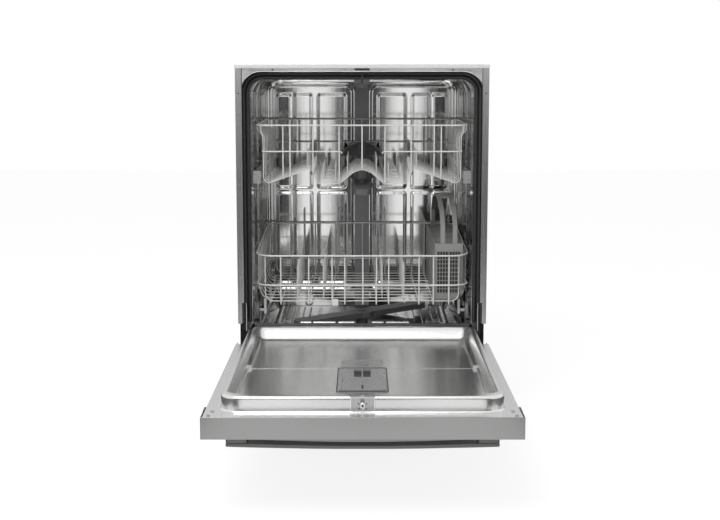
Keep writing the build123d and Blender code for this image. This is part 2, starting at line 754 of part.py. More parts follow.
with BuildPart() as roller_brackets:
    for side in sides:
        for y in tub_roller_y:
            side_slab(side, (264.3, tub_half), (y - 18, y + 18), (rail_z - 25, rail_z + 25))
            rod((side * 265, y, rail_z), (side * 256.4, y, rail_z), axle_radius)
write(roller_brackets, "roller_brackets")


def wheel_pair(node, y, z, inner, width, radius):
    """Two equal wheels on one axle line, one at each side of the machine."""
    with BuildPart() as wheels:
        for side in sides:
            inside, outside = side * inner, side * (inner + width)
            rod((inside, y, z), (outside, y, z), radius)
            rod((inside - side, y, z), (outside + side, y, z), axle_radius + running_gap, Mode.SUBTRACT)
            for place in (inside, outside - side * 1.5):
                rod((place, y, z), (place + side * 1.5, y, z), radius - 3, Mode.SUBTRACT)
                rod((place, y, z), (place + side * 1.5, y, z), axle_radius + 3)
                rod((place, y, z), (place + side * 1.5, y, z), axle_radius + running_gap, Mode.SUBTRACT)
    write(wheels, node)


for place, y in zip(("front", "rear"), tub_roller_y):
    wheel_pair(f"rail_rollers_{place}", y, rail_z, 256.5, 7.0, rail_radius)
for place, y in zip(("front", "rear"), rack_wheel_y):
    wheel_pair(f"upper_wheels_{place}", y, rail_z, 246.5, 7.0, rail_radius)

# Upper spray arm, and the pipe under the rack that feeds it and docks on the back duct
feed_z = 586.0
feed_radius = 11.0
hub_y = front + 270.0

with BuildPart() as spray_feed:
    rod((0, hub_y, feed_z), (0, front + 496.5, feed_z), feed_radius)
    with Locations((0, hub_y, 570)):
        Cylinder(17, 29, align=(Align.CENTER, Align.CENTER, Align.MIN))
    rod((0, hub_y + 10, feed_z), (0, front + 497, feed_z), feed_radius - 2, Mode.SUBTRACT)
    rod((0, hub_y, 571), (0, hub_y, 545), 8)
    rod((0, hub_y, 545.5), (0, hub_y, 541.5), 10)
    for y in (front + 315, front + 415):
        slab((-7, 7), (y - 5, y + 5), (595, middle_wire_low))
    with BuildSketch(upright(front + 486)):
        with BuildLine():
            ThreePointArc((-57, 617), (0, 655), (57, 617))
            Line((57, 617), (-57, 617))
        make_face()
    extrude(amount=36)
    with BuildSketch(upright(front + 484)):
        with BuildLine():
            ThreePointArc((-53, 616), (0, 652.5), (53, 616))
            Line((53, 616), (-53, 616))
        make_face()
    extrude(amount=40, mode=Mode.SUBTRACT)
    for x in (-7, 7):
        slab((x - 2.5, x + 2.5), (front + 460, front + 468), (592, 653))
write(spray_feed, "spray_feed")


def spray_arm(node, y, low, high, length, width, bore, angle):
    """A flat two-bladed arm with a round hub and a row of jets on top."""
    with BuildPart() as arm:
        with BuildSketch(Plane.XY.offset(low)):
            with Locations(Location((0, y, 0), (0, 0, angle))):
                SlotOverall(length, width)
            with Locations((0, y)):
                Circle(width / 2 + 6)
        extrude(amount=high - low)
        rod((0, y, low - 1), (0, y, high + 1), bore + running_gap, Mode.SUBTRACT)
        for reach in (0.22, 0.31, 0.4):
            for turn in (0, 180):
                jet_angle = radians(angle + turn)
                jet_x = length * reach * cos(jet_angle)
                jet_y = y + length * reach * sin(jet_angle)
                rod((jet_x, jet_y, high - 2), (jet_x, jet_y, high + 1), 2, Mode.SUBTRACT)
    write(arm, node)


spray_arm("upper_spray_arm", hub_y, 546, 560, 400, 44, 8.0, 90)
spray_arm("lower_spray_arm", wash_y, 207, 221, 436, 50, hub_radius, 40)

# Lower rack: a deep wire basket with a rim that rises to the back, and wheel axles under its sides
lower_rows = steps(lower_front + 12, lower_back - 12, 11)
lower_bars = (-198.0, -130.0, -73.0, -42.0, 2.0, 35.0, 65.0, 139.0, 174.0, 212.0)
lower_wheel_y = (lower_rows[1], lower_rows[5], lower_rows[9])
lower_wheel_z = ledge_top + 0.5 + wheel_radius
rim_slope = degrees(atan2(lower_rim_back - lower_rim_front, lower_back - lower_front))
row_z = lower_floor - thin_wire / 2
bar_z = lower_floor - 1.5 * thin_wire


def rim_height(y):
    """Height of the lower rack's rim at one depth."""
    share = (y - lower_front) / (lower_back - lower_front)
    return lower_rim_front + (lower_rim_back - lower_rim_front) * share


with BuildPart() as sloping_rim:
    slope = Plane(
        origin=(0, (lower_front + lower_back) / 2, (lower_rim_front + lower_rim_back) / 2 - wire),
        x_dir=(1, 0, 0),
        z_dir=(0, -sin(radians(rim_slope)), cos(radians(rim_slope))),
    )
    rim_length = (lower_back - lower_front) / cos(radians(rim_slope))
    with BuildSketch(slope):
        RectangleRounded(2 * lower_half, rim_length, 45)
        RectangleRounded(2 * (lower_half - wire), rim_length - 2 * wire, 41, mode=Mode.SUBTRACT)
    extrude(amount=wire)

lower_wires = [sloping_rim.part, rim(lower_band, lower_half, lower_front, lower_back, 45, wire)]
for y in lower_rows:
    top = rim_height(y) - 2
    if lower_rows[0] < y < lower_rows[-1]:
        half_row = [(0.0, row_z), (240.0, row_z), (249.0, 298.0), (255.5, 322.0), (255.5, top)]
    else:
        half_row = [(0.0, row_z), (226.0, row_z), (236.5, 300.0), (236.5, top)]
    lower_wires.append(cross_bar(mirrored(half_row), y, thin_wire))
for x in lower_bars:
    frame = [
        (lower_front + 5.8, lower_rim_front - 1),
        (lower_front + 5.5, bar_z),
        (lower_back - 5.5, bar_z),
        (lower_back - 5.5, lower_rim_back - 1),
    ]
    lower_wires.append(long_bar(frame, x, thin_wire))
row_ends = (lower_rows[0] - thin_wire / 2, lower_rows[-1] + thin_wire / 2)
for x in (-224, -160, -96, 104, 224):
    with BuildPart() as keel:
        slab((x - thin_wire / 2, x + thin_wire / 2), row_ends, (bar_z - thin_wire / 2, bar_z + thin_wire / 2))
    lower_wires.append(keel.part)
for side in sides:
    for y in lower_wheel_y:
        with BuildPart() as leg:
            side_slab(side, (237, 243), (y - 9, y + 9), (lower_wheel_z - 9, row_z - thin_wire / 2))
            rod((side * 242, y, lower_wheel_z), (side * 262.3, y, lower_wheel_z), axle_radius)
        lower_wires.append(leg.part)
write_welded(lower_wires, "lower_rack")

# Tines: four rows of plate tines stand on the cross wires, and four tall ones at the back
tine_rows = (-160.0, -96.0, 50.0, 104.0)
tine_top = 372.0
tall_tine = 470.0
tine_places = [(x, y, tine_top) for x in tine_rows for y in lower_rows[1:10]]
tine_places += [(x, lower_rows[-1], tall_tine) for x in (-160.0, -66.0, 64.0, 119.0)]
tines = []
for x, y, top in tine_places:
    with BuildPart() as tine:
        with Locations((x, y, lower_floor)):
            Box(thin_wire, thin_wire, top - lower_floor, align=(Align.CENTER, Align.CENTER, Align.MIN))
    tines.append(tine.part)
write_welded(tines, "lower_tines")

for place, y in zip(("front", "middle", "rear"), lower_wheel_y):
    wheel_pair(f"lower_wheels_{place}", y, lower_wheel_z, wheel_inner, wheel_width, wheel_radius)

# Cutlery basket: a long narrow box of open lattice with four cells
# Its outer lower corner is cut away, where the rack's cross wires bend up.
basket_left, basket_right = 178.0, 246.0
basket_near, basket_far = front + 60.0, front + 484.0
basket_low, basket_high = lower_floor + 0.6, 428.0
basket_wall = 2.5
basket_cells = 4
basket_mid = (basket_left + basket_right) / 2
cell_length = (basket_far - basket_near) / basket_cells
step_x, step_z = basket_right - 10.0, 304.0
basket_length = (basket_near, basket_far)
left_inside, right_inside = basket_left + basket_wall, basket_right - basket_wall
basket_floor = basket_low + basket_wall
basket_walls = []

with BuildPart() as floor_strip:
    slab((left_inside, step_x), basket_length, (basket_low, basket_floor))
basket_walls.append(floor_strip.part)
with BuildPart() as step_wall:
    slab((step_x - basket_wall, step_x), basket_length, (basket_floor, step_z))
basket_walls.append(step_wall.part)
with BuildPart() as step_strip:
    slab((step_x - basket_wall, right_inside), basket_length, (step_z, step_z + basket_wall))
basket_walls.append(step_strip.part)

for x0, x1, low in ((basket_left, left_inside, basket_low), (right_inside, basket_right, step_z)):
    with BuildPart() as long_wall:
        slab((x0, x1), basket_length, (low, basket_high))
        with BuildSketch(sideways(x0 - 1)):
            for cell in range(basket_cells):
                with Locations((basket_near + (cell + 0.5) * cell_length, 360)):
                    with GridLocations(16, 18, 6, 5):
                        Rectangle(11, 13)
        extrude(amount=basket_wall + 2, mode=Mode.SUBTRACT)
    basket_walls.append(long_wall.part)

cross_places = [basket_near + cell * cell_length for cell in range(basket_cells)] + [basket_far - basket_wall]
for y in cross_places:
    with BuildPart() as cross_wall:
        with BuildSketch(upright(y)):
            Polygon(
                (left_inside, basket_floor),
                (step_x - basket_wall, basket_floor),
                (step_x - basket_wall, step_z + basket_wall),
                (right_inside, step_z + basket_wall),
                (right_inside, basket_high),
                (left_inside, basket_high),
                align=None,
            )
            for column in (-1, 1):
                with Locations((basket_mid + column * 15, 361)):
                    with GridLocations(6.6, 10.5, 4, 9):
                        Rectangle(4, 7, mode=Mode.SUBTRACT)
        extrude(amount=-basket_wall)
    basket_walls.append(cross_wall.part)
write_welded(basket_walls, "cutlery_basket")

# Basket handle: two arched straps inside the end walls, joined by a pad on top
arch = [
    (basket_near + basket_wall + 2, basket_high - 14),
    (basket_near + basket_wall + 3.5, 470),
    (basket_near + 50, 503),
    (basket_near + 150, 526),
    (basket_far - 150, 526),
    (basket_far - 50, 503),
    (basket_far - basket_wall - 3.5, 470),
    (basket_far - basket_wall - 2, basket_high - 14),
]
with BuildPart() as basket_handle:
    for x in (basket_mid - 15, basket_mid + 15):
        add([long_bar(arch, x + shift, 4) for shift in (-3.6, 0, 3.6)])
    slab(
        (basket_mid - 19, basket_mid + 19),
        (basket_near + 150, basket_far - 150),
        (524.5, 528),
    )
write(basket_handle, "basket_handle")

# Small trims on the door: black edge caps and the flange screws
with BuildPart() as edge_caps:
    for side in sides:
        side_slab(side, (299.6, 303), (door_end + 42, door_end + 72), (192.3, 205.5))
write(edge_caps, "edge_caps")

screw_places = [
    (side * x, door_end + y)
    for side in sides
    for x, y in ((285.0, 42.0), (289.0, 12.0))
]
with BuildPart() as door_screws:
    for x, y in screw_places:
        rod((x, y, door_flange), (x, y, door_flange + 1.8), 3.6)
        rod((x, y, door_flange + 0.8), (x, y, door_flange + 2), 1.6, Mode.SUBTRACT)
write(door_screws, "door_screws")
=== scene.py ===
from math import cos, hypot, pi, radians, sin, tan

import bpy
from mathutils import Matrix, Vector


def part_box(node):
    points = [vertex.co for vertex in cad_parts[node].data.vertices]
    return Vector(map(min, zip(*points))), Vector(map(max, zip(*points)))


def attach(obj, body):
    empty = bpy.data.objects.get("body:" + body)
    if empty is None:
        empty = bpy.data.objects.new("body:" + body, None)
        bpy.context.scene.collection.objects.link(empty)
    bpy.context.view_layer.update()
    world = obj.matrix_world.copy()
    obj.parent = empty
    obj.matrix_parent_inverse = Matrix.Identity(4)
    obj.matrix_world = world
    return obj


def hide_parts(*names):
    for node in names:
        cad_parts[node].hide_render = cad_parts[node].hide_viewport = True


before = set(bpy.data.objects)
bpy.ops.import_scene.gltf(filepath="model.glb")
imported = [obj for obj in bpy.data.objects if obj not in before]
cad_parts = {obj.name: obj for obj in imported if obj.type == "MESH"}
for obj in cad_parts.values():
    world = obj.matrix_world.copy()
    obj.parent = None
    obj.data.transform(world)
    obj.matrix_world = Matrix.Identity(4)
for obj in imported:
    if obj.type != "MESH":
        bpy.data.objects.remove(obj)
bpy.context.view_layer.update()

# The camera stands at the photograph's height and distance, and looks down a little at the open door.
# The focal length and the tilt were fitted to the cabinet's front edges and to the corners of the door.
bpy.ops.object.camera_add(location=(-0.005, -3.303, 0.8326), rotation=(radians(90 - 8.24), 0, 0))
camera = bpy.context.object
camera.name = "camera"
camera.data.lens = 63.5
camera.data.sensor_width = 36.0
bpy.context.scene.camera = camera
bpy.context.scene.view_settings.view_transform = "Standard"

# The studio: a white surround that lights the object evenly, and a pale floor that keeps its shadow.
# The floor and the surround read as plain white to the camera, and in the steel too, but not the floor right
# under the object: there a soft-edged patch is painted dark as its shadow, with a little of the light that
# gets there.


def node_tree(owner):
    """An empty node tree on a material or a world."""
    owner.use_nodes = True
    owner.node_tree.nodes.clear()
    return owner.node_tree


def added(tree, kind, values=None):
    """A new shader node, with values for some of its sockets."""
    node = tree.nodes.new("ShaderNode" + kind)
    for socket, value in (values or {}).items():
        node.inputs[socket].default_value = value
    return node


def link(tree, source, target):
    """Joins two sockets."""
    tree.links.new(source, target)


def larger(tree, one, other):
    """The larger of the numbers on two sockets."""
    most = added(tree, "Math")
    most.operation = "MAXIMUM"
    link(tree, one, most.inputs[0])
    link(tree, other, most.inputs[1])
    return most.outputs[0]


def mixed(tree, share, one, other):
    """Two shaders mixed by the number on a socket."""
    mix = added(tree, "MixShader")
    link(tree, share, mix.inputs[0])
    link(tree, one.outputs[0], mix.inputs[1])
    link(tree, other.outputs[0], mix.inputs[2])
    return mix


def backdrop_rays(tree):
    """A socket that is 1 for the rays that should see the white backdrop."""
    path = added(tree, "LightPath")
    seen = path.outputs["Is Camera Ray"]
    for ray in ("Is Glossy Ray", "Is Transmission Ray"):
        seen = larger(tree, seen, path.outputs[ray])
    return seen


room_light = 0.60
white = (1, 1, 1, 1)
world = bpy.data.worlds.new("white_room")
bpy.context.scene.world = world
tree = node_tree(world)
even = added(tree, "Background", {"Color": white, "Strength": room_light})
plain = added(tree, "Background", {"Color": white, "Strength": 1.0})
seen_room = mixed(tree, backdrop_rays(tree), even, plain)
link(tree, seen_room.outputs[0], added(tree, "OutputWorld").inputs["Surface"])

bpy.ops.object.select_all(action="DESELECT")
bpy.ops.mesh.primitive_plane_add(size=16, location=(0, 0, 0))
floor = bpy.context.object
floor.name = "studio_floor"
floor_paint = bpy.data.materials.new("pale_floor")
tree = node_tree(floor_paint)
matt = added(tree, "BsdfDiffuse", {"Color": (0.82, 0.82, 0.82, 1)})
lift = added(tree, "Emission", {"Color": (0.84, 0.84, 0.84, 1)})
dark = added(tree, "BsdfTransparent", {"Color": (0, 0, 0, 1)})
parts = added(tree, "SeparateXYZ")
link(tree, added(tree, "TexCoord").outputs["Object"], parts.inputs["Vector"])
# painted shadow: under the object the floor's glow fades out in a soft-edged patch
shadow_patch_fade = 0.08
outside = []
for socket, middle, reach in (("X", 0.0, 0.23), ("Y", -0.14, 0.30)):
    shift = added(tree, "Math", {1: middle})
    shift.operation = "SUBTRACT"
    size = added(tree, "Math")
    size.operation = "ABSOLUTE"
    edge = added(tree, "MapRange", {"From Min": reach, "From Max": reach + shadow_patch_fade})
    link(tree, parts.outputs[socket], shift.inputs[0])
    link(tree, shift.outputs[0], size.inputs[0])
    link(tree, size.outputs[0], edge.inputs["Value"])
    outside.append(edge.outputs["Result"])
outside_shadow_patch = larger(tree, *outside)
link(tree, outside_shadow_patch, lift.inputs["Strength"])
# painted shadow: inside the patch the floor is mostly black, and outside it keeps a faint true shadow
painted_shadow_share = added(tree, "MapRange", {"To Min": 0.92, "To Max": 0.72})
link(tree, outside_shadow_patch, painted_shadow_share.inputs["Value"])
painted_shadow = mixed(tree, painted_shadow_share.outputs["Result"], matt, dark)
glow_and_painted_shadow = added(tree, "AddShader")
link(tree, lift.outputs[0], glow_and_painted_shadow.inputs[0])
link(tree, painted_shadow.outputs[0], glow_and_painted_shadow.inputs[1])
seen_floor = mixed(tree, backdrop_rays(tree), matt, glow_and_painted_shadow)
link(tree, seen_floor.outputs[0], added(tree, "OutputMaterial").inputs["Surface"])
floor.data.materials.append(floor_paint)

# One large soft lamp hangs above the open door, to the left, and a weaker one stands in front of the tub.
# The weaker one doesn't show in the steel. Cards round the camera, which only reflections see, give the
# steel its dark bands and gradients.
for name, place, aim, size, watts in (
    ("lamp_above", (-0.8, -2.3, 2.9), (0.0, -0.4, 0.3), 1.8, 52.0),
    ("lamp_front", (-1.6, -3.6, 1.7), (0.0, 0.0, 0.5), 1.4, 12.0),
):
    bpy.ops.object.light_add(type="AREA", location=place)
    lamp = bpy.context.object
    lamp.name = name
    lamp.data.size = size
    lamp.data.energy = watts
    lamp.visible_glossy = name == "lamp_above"
    lamp.rotation_euler = (Vector(aim) - Vector(place)).to_track_quat("-Z", "Y").to_euler()


def card(name, low, high, foot, top):
    """A card between two corners that only reflections see. Its brightness runs from foot to top."""
    bpy.ops.object.select_all(action="DESELECT")
    bpy.ops.mesh.primitive_plane_add(size=1)
    piece = bpy.context.object
    piece.name = name
    for vertex in piece.data.vertices:
        across, up = vertex.co.x + 0.5, vertex.co.y + 0.5
        x = low[0] + (high[0] - low[0]) * across
        vertex.co = (x, low[1] + (high[1] - low[1]) * up, low[2] + (high[2] - low[2]) * up)
    material = bpy.data.materials.new(name)
    tree = node_tree(material)
    parts = added(tree, "SeparateXYZ")
    heights = {"From Min": low[2], "From Max": high[2] + 0.001}
    grade = added(tree, "MapRange", {**heights, "To Min": foot, "To Max": top})
    glow = added(tree, "Emission")
    link(tree, added(tree, "TexCoord").outputs["Object"], parts.inputs["Vector"])
    link(tree, parts.outputs["Z"], grade.inputs["Value"])
    link(tree, grade.outputs["Result"], glow.inputs["Strength"])
    link(tree, glow.outputs[0], added(tree, "OutputMaterial").inputs["Surface"])
    piece.data.materials.append(material)
    piece.visible_camera = False
    piece.visible_diffuse = False
    piece.visible_shadow = False
    piece.visible_transmission = False


card_y = -3.2
card("card_middle", (-0.15, card_y, 0.0), (0.15, card_y, 0.95), 0.03, 0.03)
card("card_middle_floor", (-0.15, card_y, 0.003), (0.15, -2.0, 0.003), 0.03, 0.03)
for side, hand, foot, top in ((-1, "left", 0.12, 0.55), (1, "right", 0.07, 0.44)):
    for name, near, far, low, high, glow in (
        ("dark", 0.35, 0.54, (card_y, 0.0), (card_y, 0.95), (0.02, 0.02)),
        ("grey", 0.54, 1.8, (card_y, 0.0), (card_y, 0.84), (foot, top)),
        ("floor", 0.42, 1.8, (card_y, 0.003), (0.3, 0.003), (0.12, 0.12)),
        ("behind", 0.31, 1.6, (0.45, 0.0), (0.45, 1.1), (0.35 + foot, 0.9)),
    ):
        near_x, far_x = sorted((side * near, side * far))
        card(f"card_{name}_{hand}", (near_x, *low), (far_x, *high), *glow)

# Outer casing: folded satin sheet round the tub, made of a lid, two sides with front strips, and a back.
# The sheets are spot-welded and screwed together. Their cut edges are broken, so they catch the light.


def only(piece):
    """Leaves one object selected and active."""
    bpy.ops.object.select_all(action="DESELECT")
    piece.select_set(True)
    bpy.context.view_layer.objects.active = piece


def grain_noise(tree, scale):
    """Noise on object coordinates, with one scale, or a scale for each axis that draws it out."""
    stretch = added(tree, "Mapping", {"Scale": scale if isinstance(scale, tuple) else (scale,) * 3})
    noise = added(tree, "TexNoise", {"Scale": 1.0, "Detail": 3.0})
    link(tree, added(tree, "TexCoord").outputs["Object"], stretch.inputs["Vector"])
    link(tree, stretch.outputs["Vector"], noise.inputs["Vector"])
    return noise.outputs["Fac"]


def between(tree, share, low, high):
    """The middle part of the noise turned into a number from low to high."""
    ramp = added(tree, "MapRange", {"From Min": 0.3, "From Max": 0.7, "To Min": low, "To Max": high})
    link(tree, share, ramp.inputs["Value"])
    return ramp.outputs["Result"]


def tint(tree, share, one, other):
    """A colour between two, by the share."""
    mix = added(tree, "Mix", {6: (*one, 1), 7: (*other, 1)})
    mix.data_type = "RGBA"
    link(tree, share, mix.inputs[0])
    return mix.outputs[2]


def finish(name, colour, spread, rough, bump, scale, metallic=0.0, coat=0.0):
    """A material whose colour, roughness and relief follow one noise, stretched as its making left it."""
    material = bpy.data.materials.new(name)
    tree = node_tree(material)
    shader = added(tree, "BsdfPrincipled", {"Metallic": metallic, "Coat Weight": coat})
    share = grain_noise(tree, scale)
    darker = [c * (1 - spread) for c in colour]
    lighter = [min(1.0, c * (1 + spread)) for c in colour]
    link(tree, tint(tree, between(tree, share, 0.0, 1.0), darker, lighter), shader.inputs["Base Color"])
    link(tree, between(tree, share, *rough), shader.inputs["Roughness"])
    relief = added(tree, "Bump", {"Strength": bump, "Distance": 0.0003})
    link(tree, share, relief.inputs["Height"])
    link(tree, relief.outputs["Normal"], shader.inputs["Normal"])
    link(tree, shader.outputs[0], added(tree, "OutputMaterial").inputs["Surface"])
    return material


def fit(piece, body, slot, material, *nodes):
    """Gives a finished piece its material, its body and the CAD nodes that it stands for."""
    piece.data.materials.clear()
    piece.data.materials.append(material)
    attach(piece, body)
    if nodes:
        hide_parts(*nodes)


def apply_all(piece):
    """Applies a piece's modifiers."""
    only(piece)
    for modifier in list(piece.modifiers):
        bpy.ops.object.modifier_apply(modifier=modifier.name)


def smooth(piece, angle=32):
    """Smooth shading up to an angle, which leaves the large flat faces flat."""
    only(piece)
    bpy.ops.object.shade_smooth_by_angle(angle=radians(angle))
    even = piece.modifiers.new("even_normals", "WEIGHTED_NORMAL")
    even.keep_sharp = True
    apply_all(piece)


def done(piece, angle, body, slot, material, *nodes):
    """Smooths a new piece and fits it."""
    smooth(piece, angle)
    fit(piece, body, slot, material, *nodes)


def object_mode():
    """Closes edit mode."""
    bpy.ops.object.mode_set(mode="OBJECT")


def edit_all(piece):
    """Opens a piece in edit mode, with all of it selected."""
    only(piece)
    bpy.ops.object.mode_set(mode="EDIT")
    bpy.ops.mesh.select_all(action="SELECT")


def refined(node, width, segments=2):
    """A merged copy of a CAD node whose sharp edges are rounded, to stand for that node."""
    piece = bpy.data.objects.new(node + "_made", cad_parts[node].data.copy())
    bpy.context.scene.collection.objects.link(piece)
    edit_all(piece)
    bpy.ops.mesh.remove_doubles(threshold=0.00002)
    bpy.ops.mesh.customdata_custom_splitnormals_clear()
    bpy.ops.mesh.dissolve_limited(angle_limit=radians(0.5))
    object_mode()
    edge = piece.modifiers.new("broken_edges", "BEVEL")
    edge.width = width
    edge.segments = segments
    edge.limit_method = "ANGLE"
    edge.angle_limit = radians(40)
    apply_all(piece)
    smooth(piece)
    return piece


def dressed(node, width, slot, material, body="cabinet", segments=2):
    """A refined copy of a CAD node takes that node's place."""
    fit(refined(node, width, segments), body, slot, material, node)


casing_steel = finish("casing_steel", (0.55, 0.55, 0.545), 0.03, (0.16, 0.22), 0.04, (900, 900, 6), 1.0)
# painted light: the lid is the same steel as the sides, given a much lighter tone for the light from above
lid_steel_painted_light = finish("lid_steel_painted_light", (0.86, 0.86, 0.855), 0.03, (0.20, 0.28), 0.03, (900, 6, 900), 0.7)
zinc_sheet = finish("zinc_sheet", (0.55, 0.56, 0.57), 0.10, (0.40, 0.55), 0.05, 60, 1.0)
dressed("top_panel", 0.0003, "casing_steel", lid_steel_painted_light)
for node in ("side_panel_left", "side_panel_right"):
    dressed(node, 0.0003, "casing_steel", casing_steel)
dressed("back_panel", 0.0004, "back_steel", zinc_sheet)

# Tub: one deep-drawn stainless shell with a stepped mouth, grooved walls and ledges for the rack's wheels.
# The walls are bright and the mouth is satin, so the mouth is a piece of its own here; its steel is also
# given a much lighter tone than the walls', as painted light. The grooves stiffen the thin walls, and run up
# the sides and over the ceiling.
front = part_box("tub")[0].y
tub_half = 0.266
tub_floor = 0.190
tub_ceiling = 0.828
tub_depth = 0.522
tub_back = front + tub_depth
back_curve = 0.012
ledge_top = 0.235
ledge_edge = 0.243
floor_half = 0.229
mouth_depth = 0.038
mouth_back = front + mouth_depth
collar_half = 0.285
collar_top = 0.842
sheet = 0.0015
groove_depth = 0.005
groove_places = (0.135, 0.182, 0.288, 0.340, 0.392, 0.444, 0.490)


def skin(name, loops):
    """A sheet of quads through loops of points, each loop with as many points as the others."""
    across, down = len(loops[0]) - 1, len(loops) - 1
    bpy.ops.object.select_all(action="DESELECT")
    bpy.ops.mesh.primitive_grid_add(x_subdivisions=across, y_subdivisions=down, size=2)
    piece = bpy.context.object
    piece.name = name
    for vertex in piece.data.vertices:
        i = round((vertex.co.x + 1) / 2 * across)
        j = round((vertex.co.y + 1) / 2 * down)
        vertex.co = loops[j][i]
    return piece


def merged(piece, outward=True, holes=False):
    """Merges what lies together, closes any hole if asked, and turns the faces outwards."""
    edit_all(piece)
    bpy.ops.mesh.remove_doubles(threshold=0.00001)
    if holes:
        bpy.ops.mesh.fill_holes(sides=0)
    if outward:
        bpy.ops.mesh.normals_make_consistent(inside=False)
    object_mode()
    return piece


def facing(piece, direction):
    """Turns an open sheet so that most of its area looks the way that is asked."""
    piece.data.update()
    score = sum(face.area * direction(face.center).dot(face.normal) for face in piece.data.polygons)
    if score < 0:
        edit_all(piece)
        bpy.ops.mesh.flip_normals()
        object_mode()


def walled(piece, thickness):
    """Gives a sheet its thickness, behind the side that its faces look to."""
    wall = piece.modifiers.new("wall", "SOLIDIFY")
    wall.thickness = thickness
    wall.offset = -1.0
    wall.use_even_offset = True
    apply_all(piece)


def pressed(name, loops, thickness, direction):
    """A sheet through loops of points, with its wall behind the side that looks the way that is asked."""
    piece = merged(skin(name, loops), outward=False)
    facing(piece, direction)
    walled(piece, thickness)
    return piece


def joined(name, pieces):
    """Several meshes as one object."""
    only(pieces[0])
    for piece in pieces[1:]:
        piece.select_set(True)
    bpy.ops.object.join()
    piece = bpy.context.object
    piece.name = name
    return piece


def bent(points, radius, arc_steps=5):
    """The line through the points, with every corner turned in an arc."""
    points = [Vector(p) for p in points]
    line = [points[0]]
    for before, corner, after in zip(points, points[1:], points[2:]):
        back, ahead = before - corner, after - corner
        opening = back.angle(ahead)
        if opening > radians(178):
            line.append(corner)
            continue
        reach = min(radius / tan(opening / 2), 0.48 * back.length, 0.48 * ahead.length)
        start = corner + back.normalized() * reach
        end = corner + ahead.normalized() * reach
        middle = (back.normalized() + ahead.normalized()).normalized()
        centre = corner + middle * (reach / cos(opening / 2))
        arm_in, arm_out = start - centre, end - centre
        sweep = pi - opening
        for i in range(arc_steps + 1):
            share = i / arc_steps
            weight_in = sin((1 - share) * sweep) / sin(sweep)
            weight_out = sin(share * sweep) / sin(sweep)
            line.append(centre + arm_in * weight_in + arm_out * weight_out)
    line.append(points[-1])
    return line


def fade(value, low, high):
    """A soft step from 0 to 1 between two values."""
    share = max(0.0, min(1.0, (value - low) / (high - low)))
    return share * share * (3 - 2 * share)


def groove(y):
    """How far the wall stands out at one depth, from 0 to 1."""
    nearest = min(abs(y - front - place) for place in groove_places)
    return fade(0.019 - nearest, 0.0, 0.008)


def wall_line(y, inset):
    """The tub's section at one depth, from the floor's left edge over the ceiling to its right edge."""
    out = groove_depth * groove(y) - inset
    half, ceiling = tub_half + out, tub_ceiling + out
    level = ledge_top + max(inset, 0)
    right = [
        (0, 0, ceiling),
        (half, 0, ceiling),
        (half, 0, 0.290),
        (tub_half - inset, 0, 0.262),
        (tub_half - inset, 0, level),
        (ledge_edge - inset, 0, level),
        (floor_half - inset, 0, tub_floor),
    ]
    radii = (0.040, 0.020, 0.020, 0.005, 0.004)
    line = [Vector(right[0])]
    for i, radius in enumerate(radii):
        corner = bent(right[i:i + 3], radius, 6)[1:-1]
        line += corner if len(corner) == 7 else corner * 7
    line.append(Vector(right[-1]))
    points = [Vector((-p.x, y, p.z)) for p in reversed(line[1:])]
    return points + [Vector((p.x, y, p.z)) for p in line]


wall_run = tub_depth - mouth_depth - back_curve
depths = [mouth_back - front + wall_run * i / 118 for i in range(119)]
tub_lines = [wall_line(front + depth, 0.0) for depth in depths]
for i in range(1, 7):
    turn = radians(15 * i)
    y, inset = tub_back - back_curve + back_curve * sin(turn), back_curve * (1 - cos(turn))
    tub_lines.append(wall_line(y, inset))
tub_wall = pressed("tub_wall", tub_lines, sheet, lambda p: Vector((-p.x, 0, 0.5 - p.z)).normalized())


def mouth_line(y, half, top, radius, low=0.245):
    """An arch of points over the tub's mouth, from the lower left to the lower right."""
    middle = [(-half * 0.5, y, top), (0, y, top), (half * 0.5, y, top)]
    left = bent([(-half, y, low), (-half, y, top), middle[0]], radius, 10)
    right = bent([middle[2], (half, y, top), (half, y, low)], radius, 10)
    return left + [Vector(middle[1])] + right


collar, throat = (collar_half, collar_top), (tub_half, tub_ceiling)
mouth_lines = [mouth_line(front, 0.296, 0.8505, 0.002)]
for y, (half, top), out, radius in (
    (front, collar, 0.003, 0.050),
    (front + 0.0009, collar, 0.0009, 0.0479),
    (front + 0.003, collar, 0.0, 0.047),
    (mouth_back - 0.003, collar, 0.0, 0.047),
    (mouth_back - 0.0009, collar, -0.0009, 0.0461),
    (mouth_back, collar, -0.003, 0.044),
    (mouth_back, throat, 0.003, 0.043),
    (mouth_back + 0.0009, throat, 0.0009, 0.0409),
    (mouth_back + 0.003, throat, 0.0, 0.040),
):
    mouth_lines.append(mouth_line(y, half + out, top + out, radius))
tub_mouth = pressed("tub_mouth", mouth_lines, sheet, lambda p: Vector((-p.x, -0.5, 0.5 - p.z)).normalized())

wash_y = front + 0.282
sump_hole = 0.112


def ring(half, near, far, radius, z, arc_steps=6, runs=(1, 1, 1, 1)):
    """A closed level loop with round corners, from the middle of its near side, turning to the right.

    runs gives how many lengths the right, far, left and near sides are cut in."""
    middle_y = (near + far) / 2
    corners = [(half, near), (half, far), (-half, far), (-half, near)]
    starts = (-90, 0, 90, 180)
    points = []
    for (x, y), angle, pieces in zip(corners, starts, runs):
        centre_x = x - radius if x > 0 else x + radius
        centre_y = y - radius if y > middle_y else y + radius
        for i in range(arc_steps + 1):
            turn = radians(angle + 90 * i / arc_steps)
            points.append(Vector((centre_x + radius * cos(turn), centre_y + radius * sin(turn), z)))
    count = arc_steps + 1
    loop = []
    for corner in range(4):
        loop += points[corner * count:(corner + 1) * count]
        start = points[(corner + 1) * count - 1]
        end = points[((corner + 1) % 4) * count]
        for i in range(1, runs[corner]):
            loop.append(start.lerp(end, i / runs[corner]))
    return loop + [loop[0]]


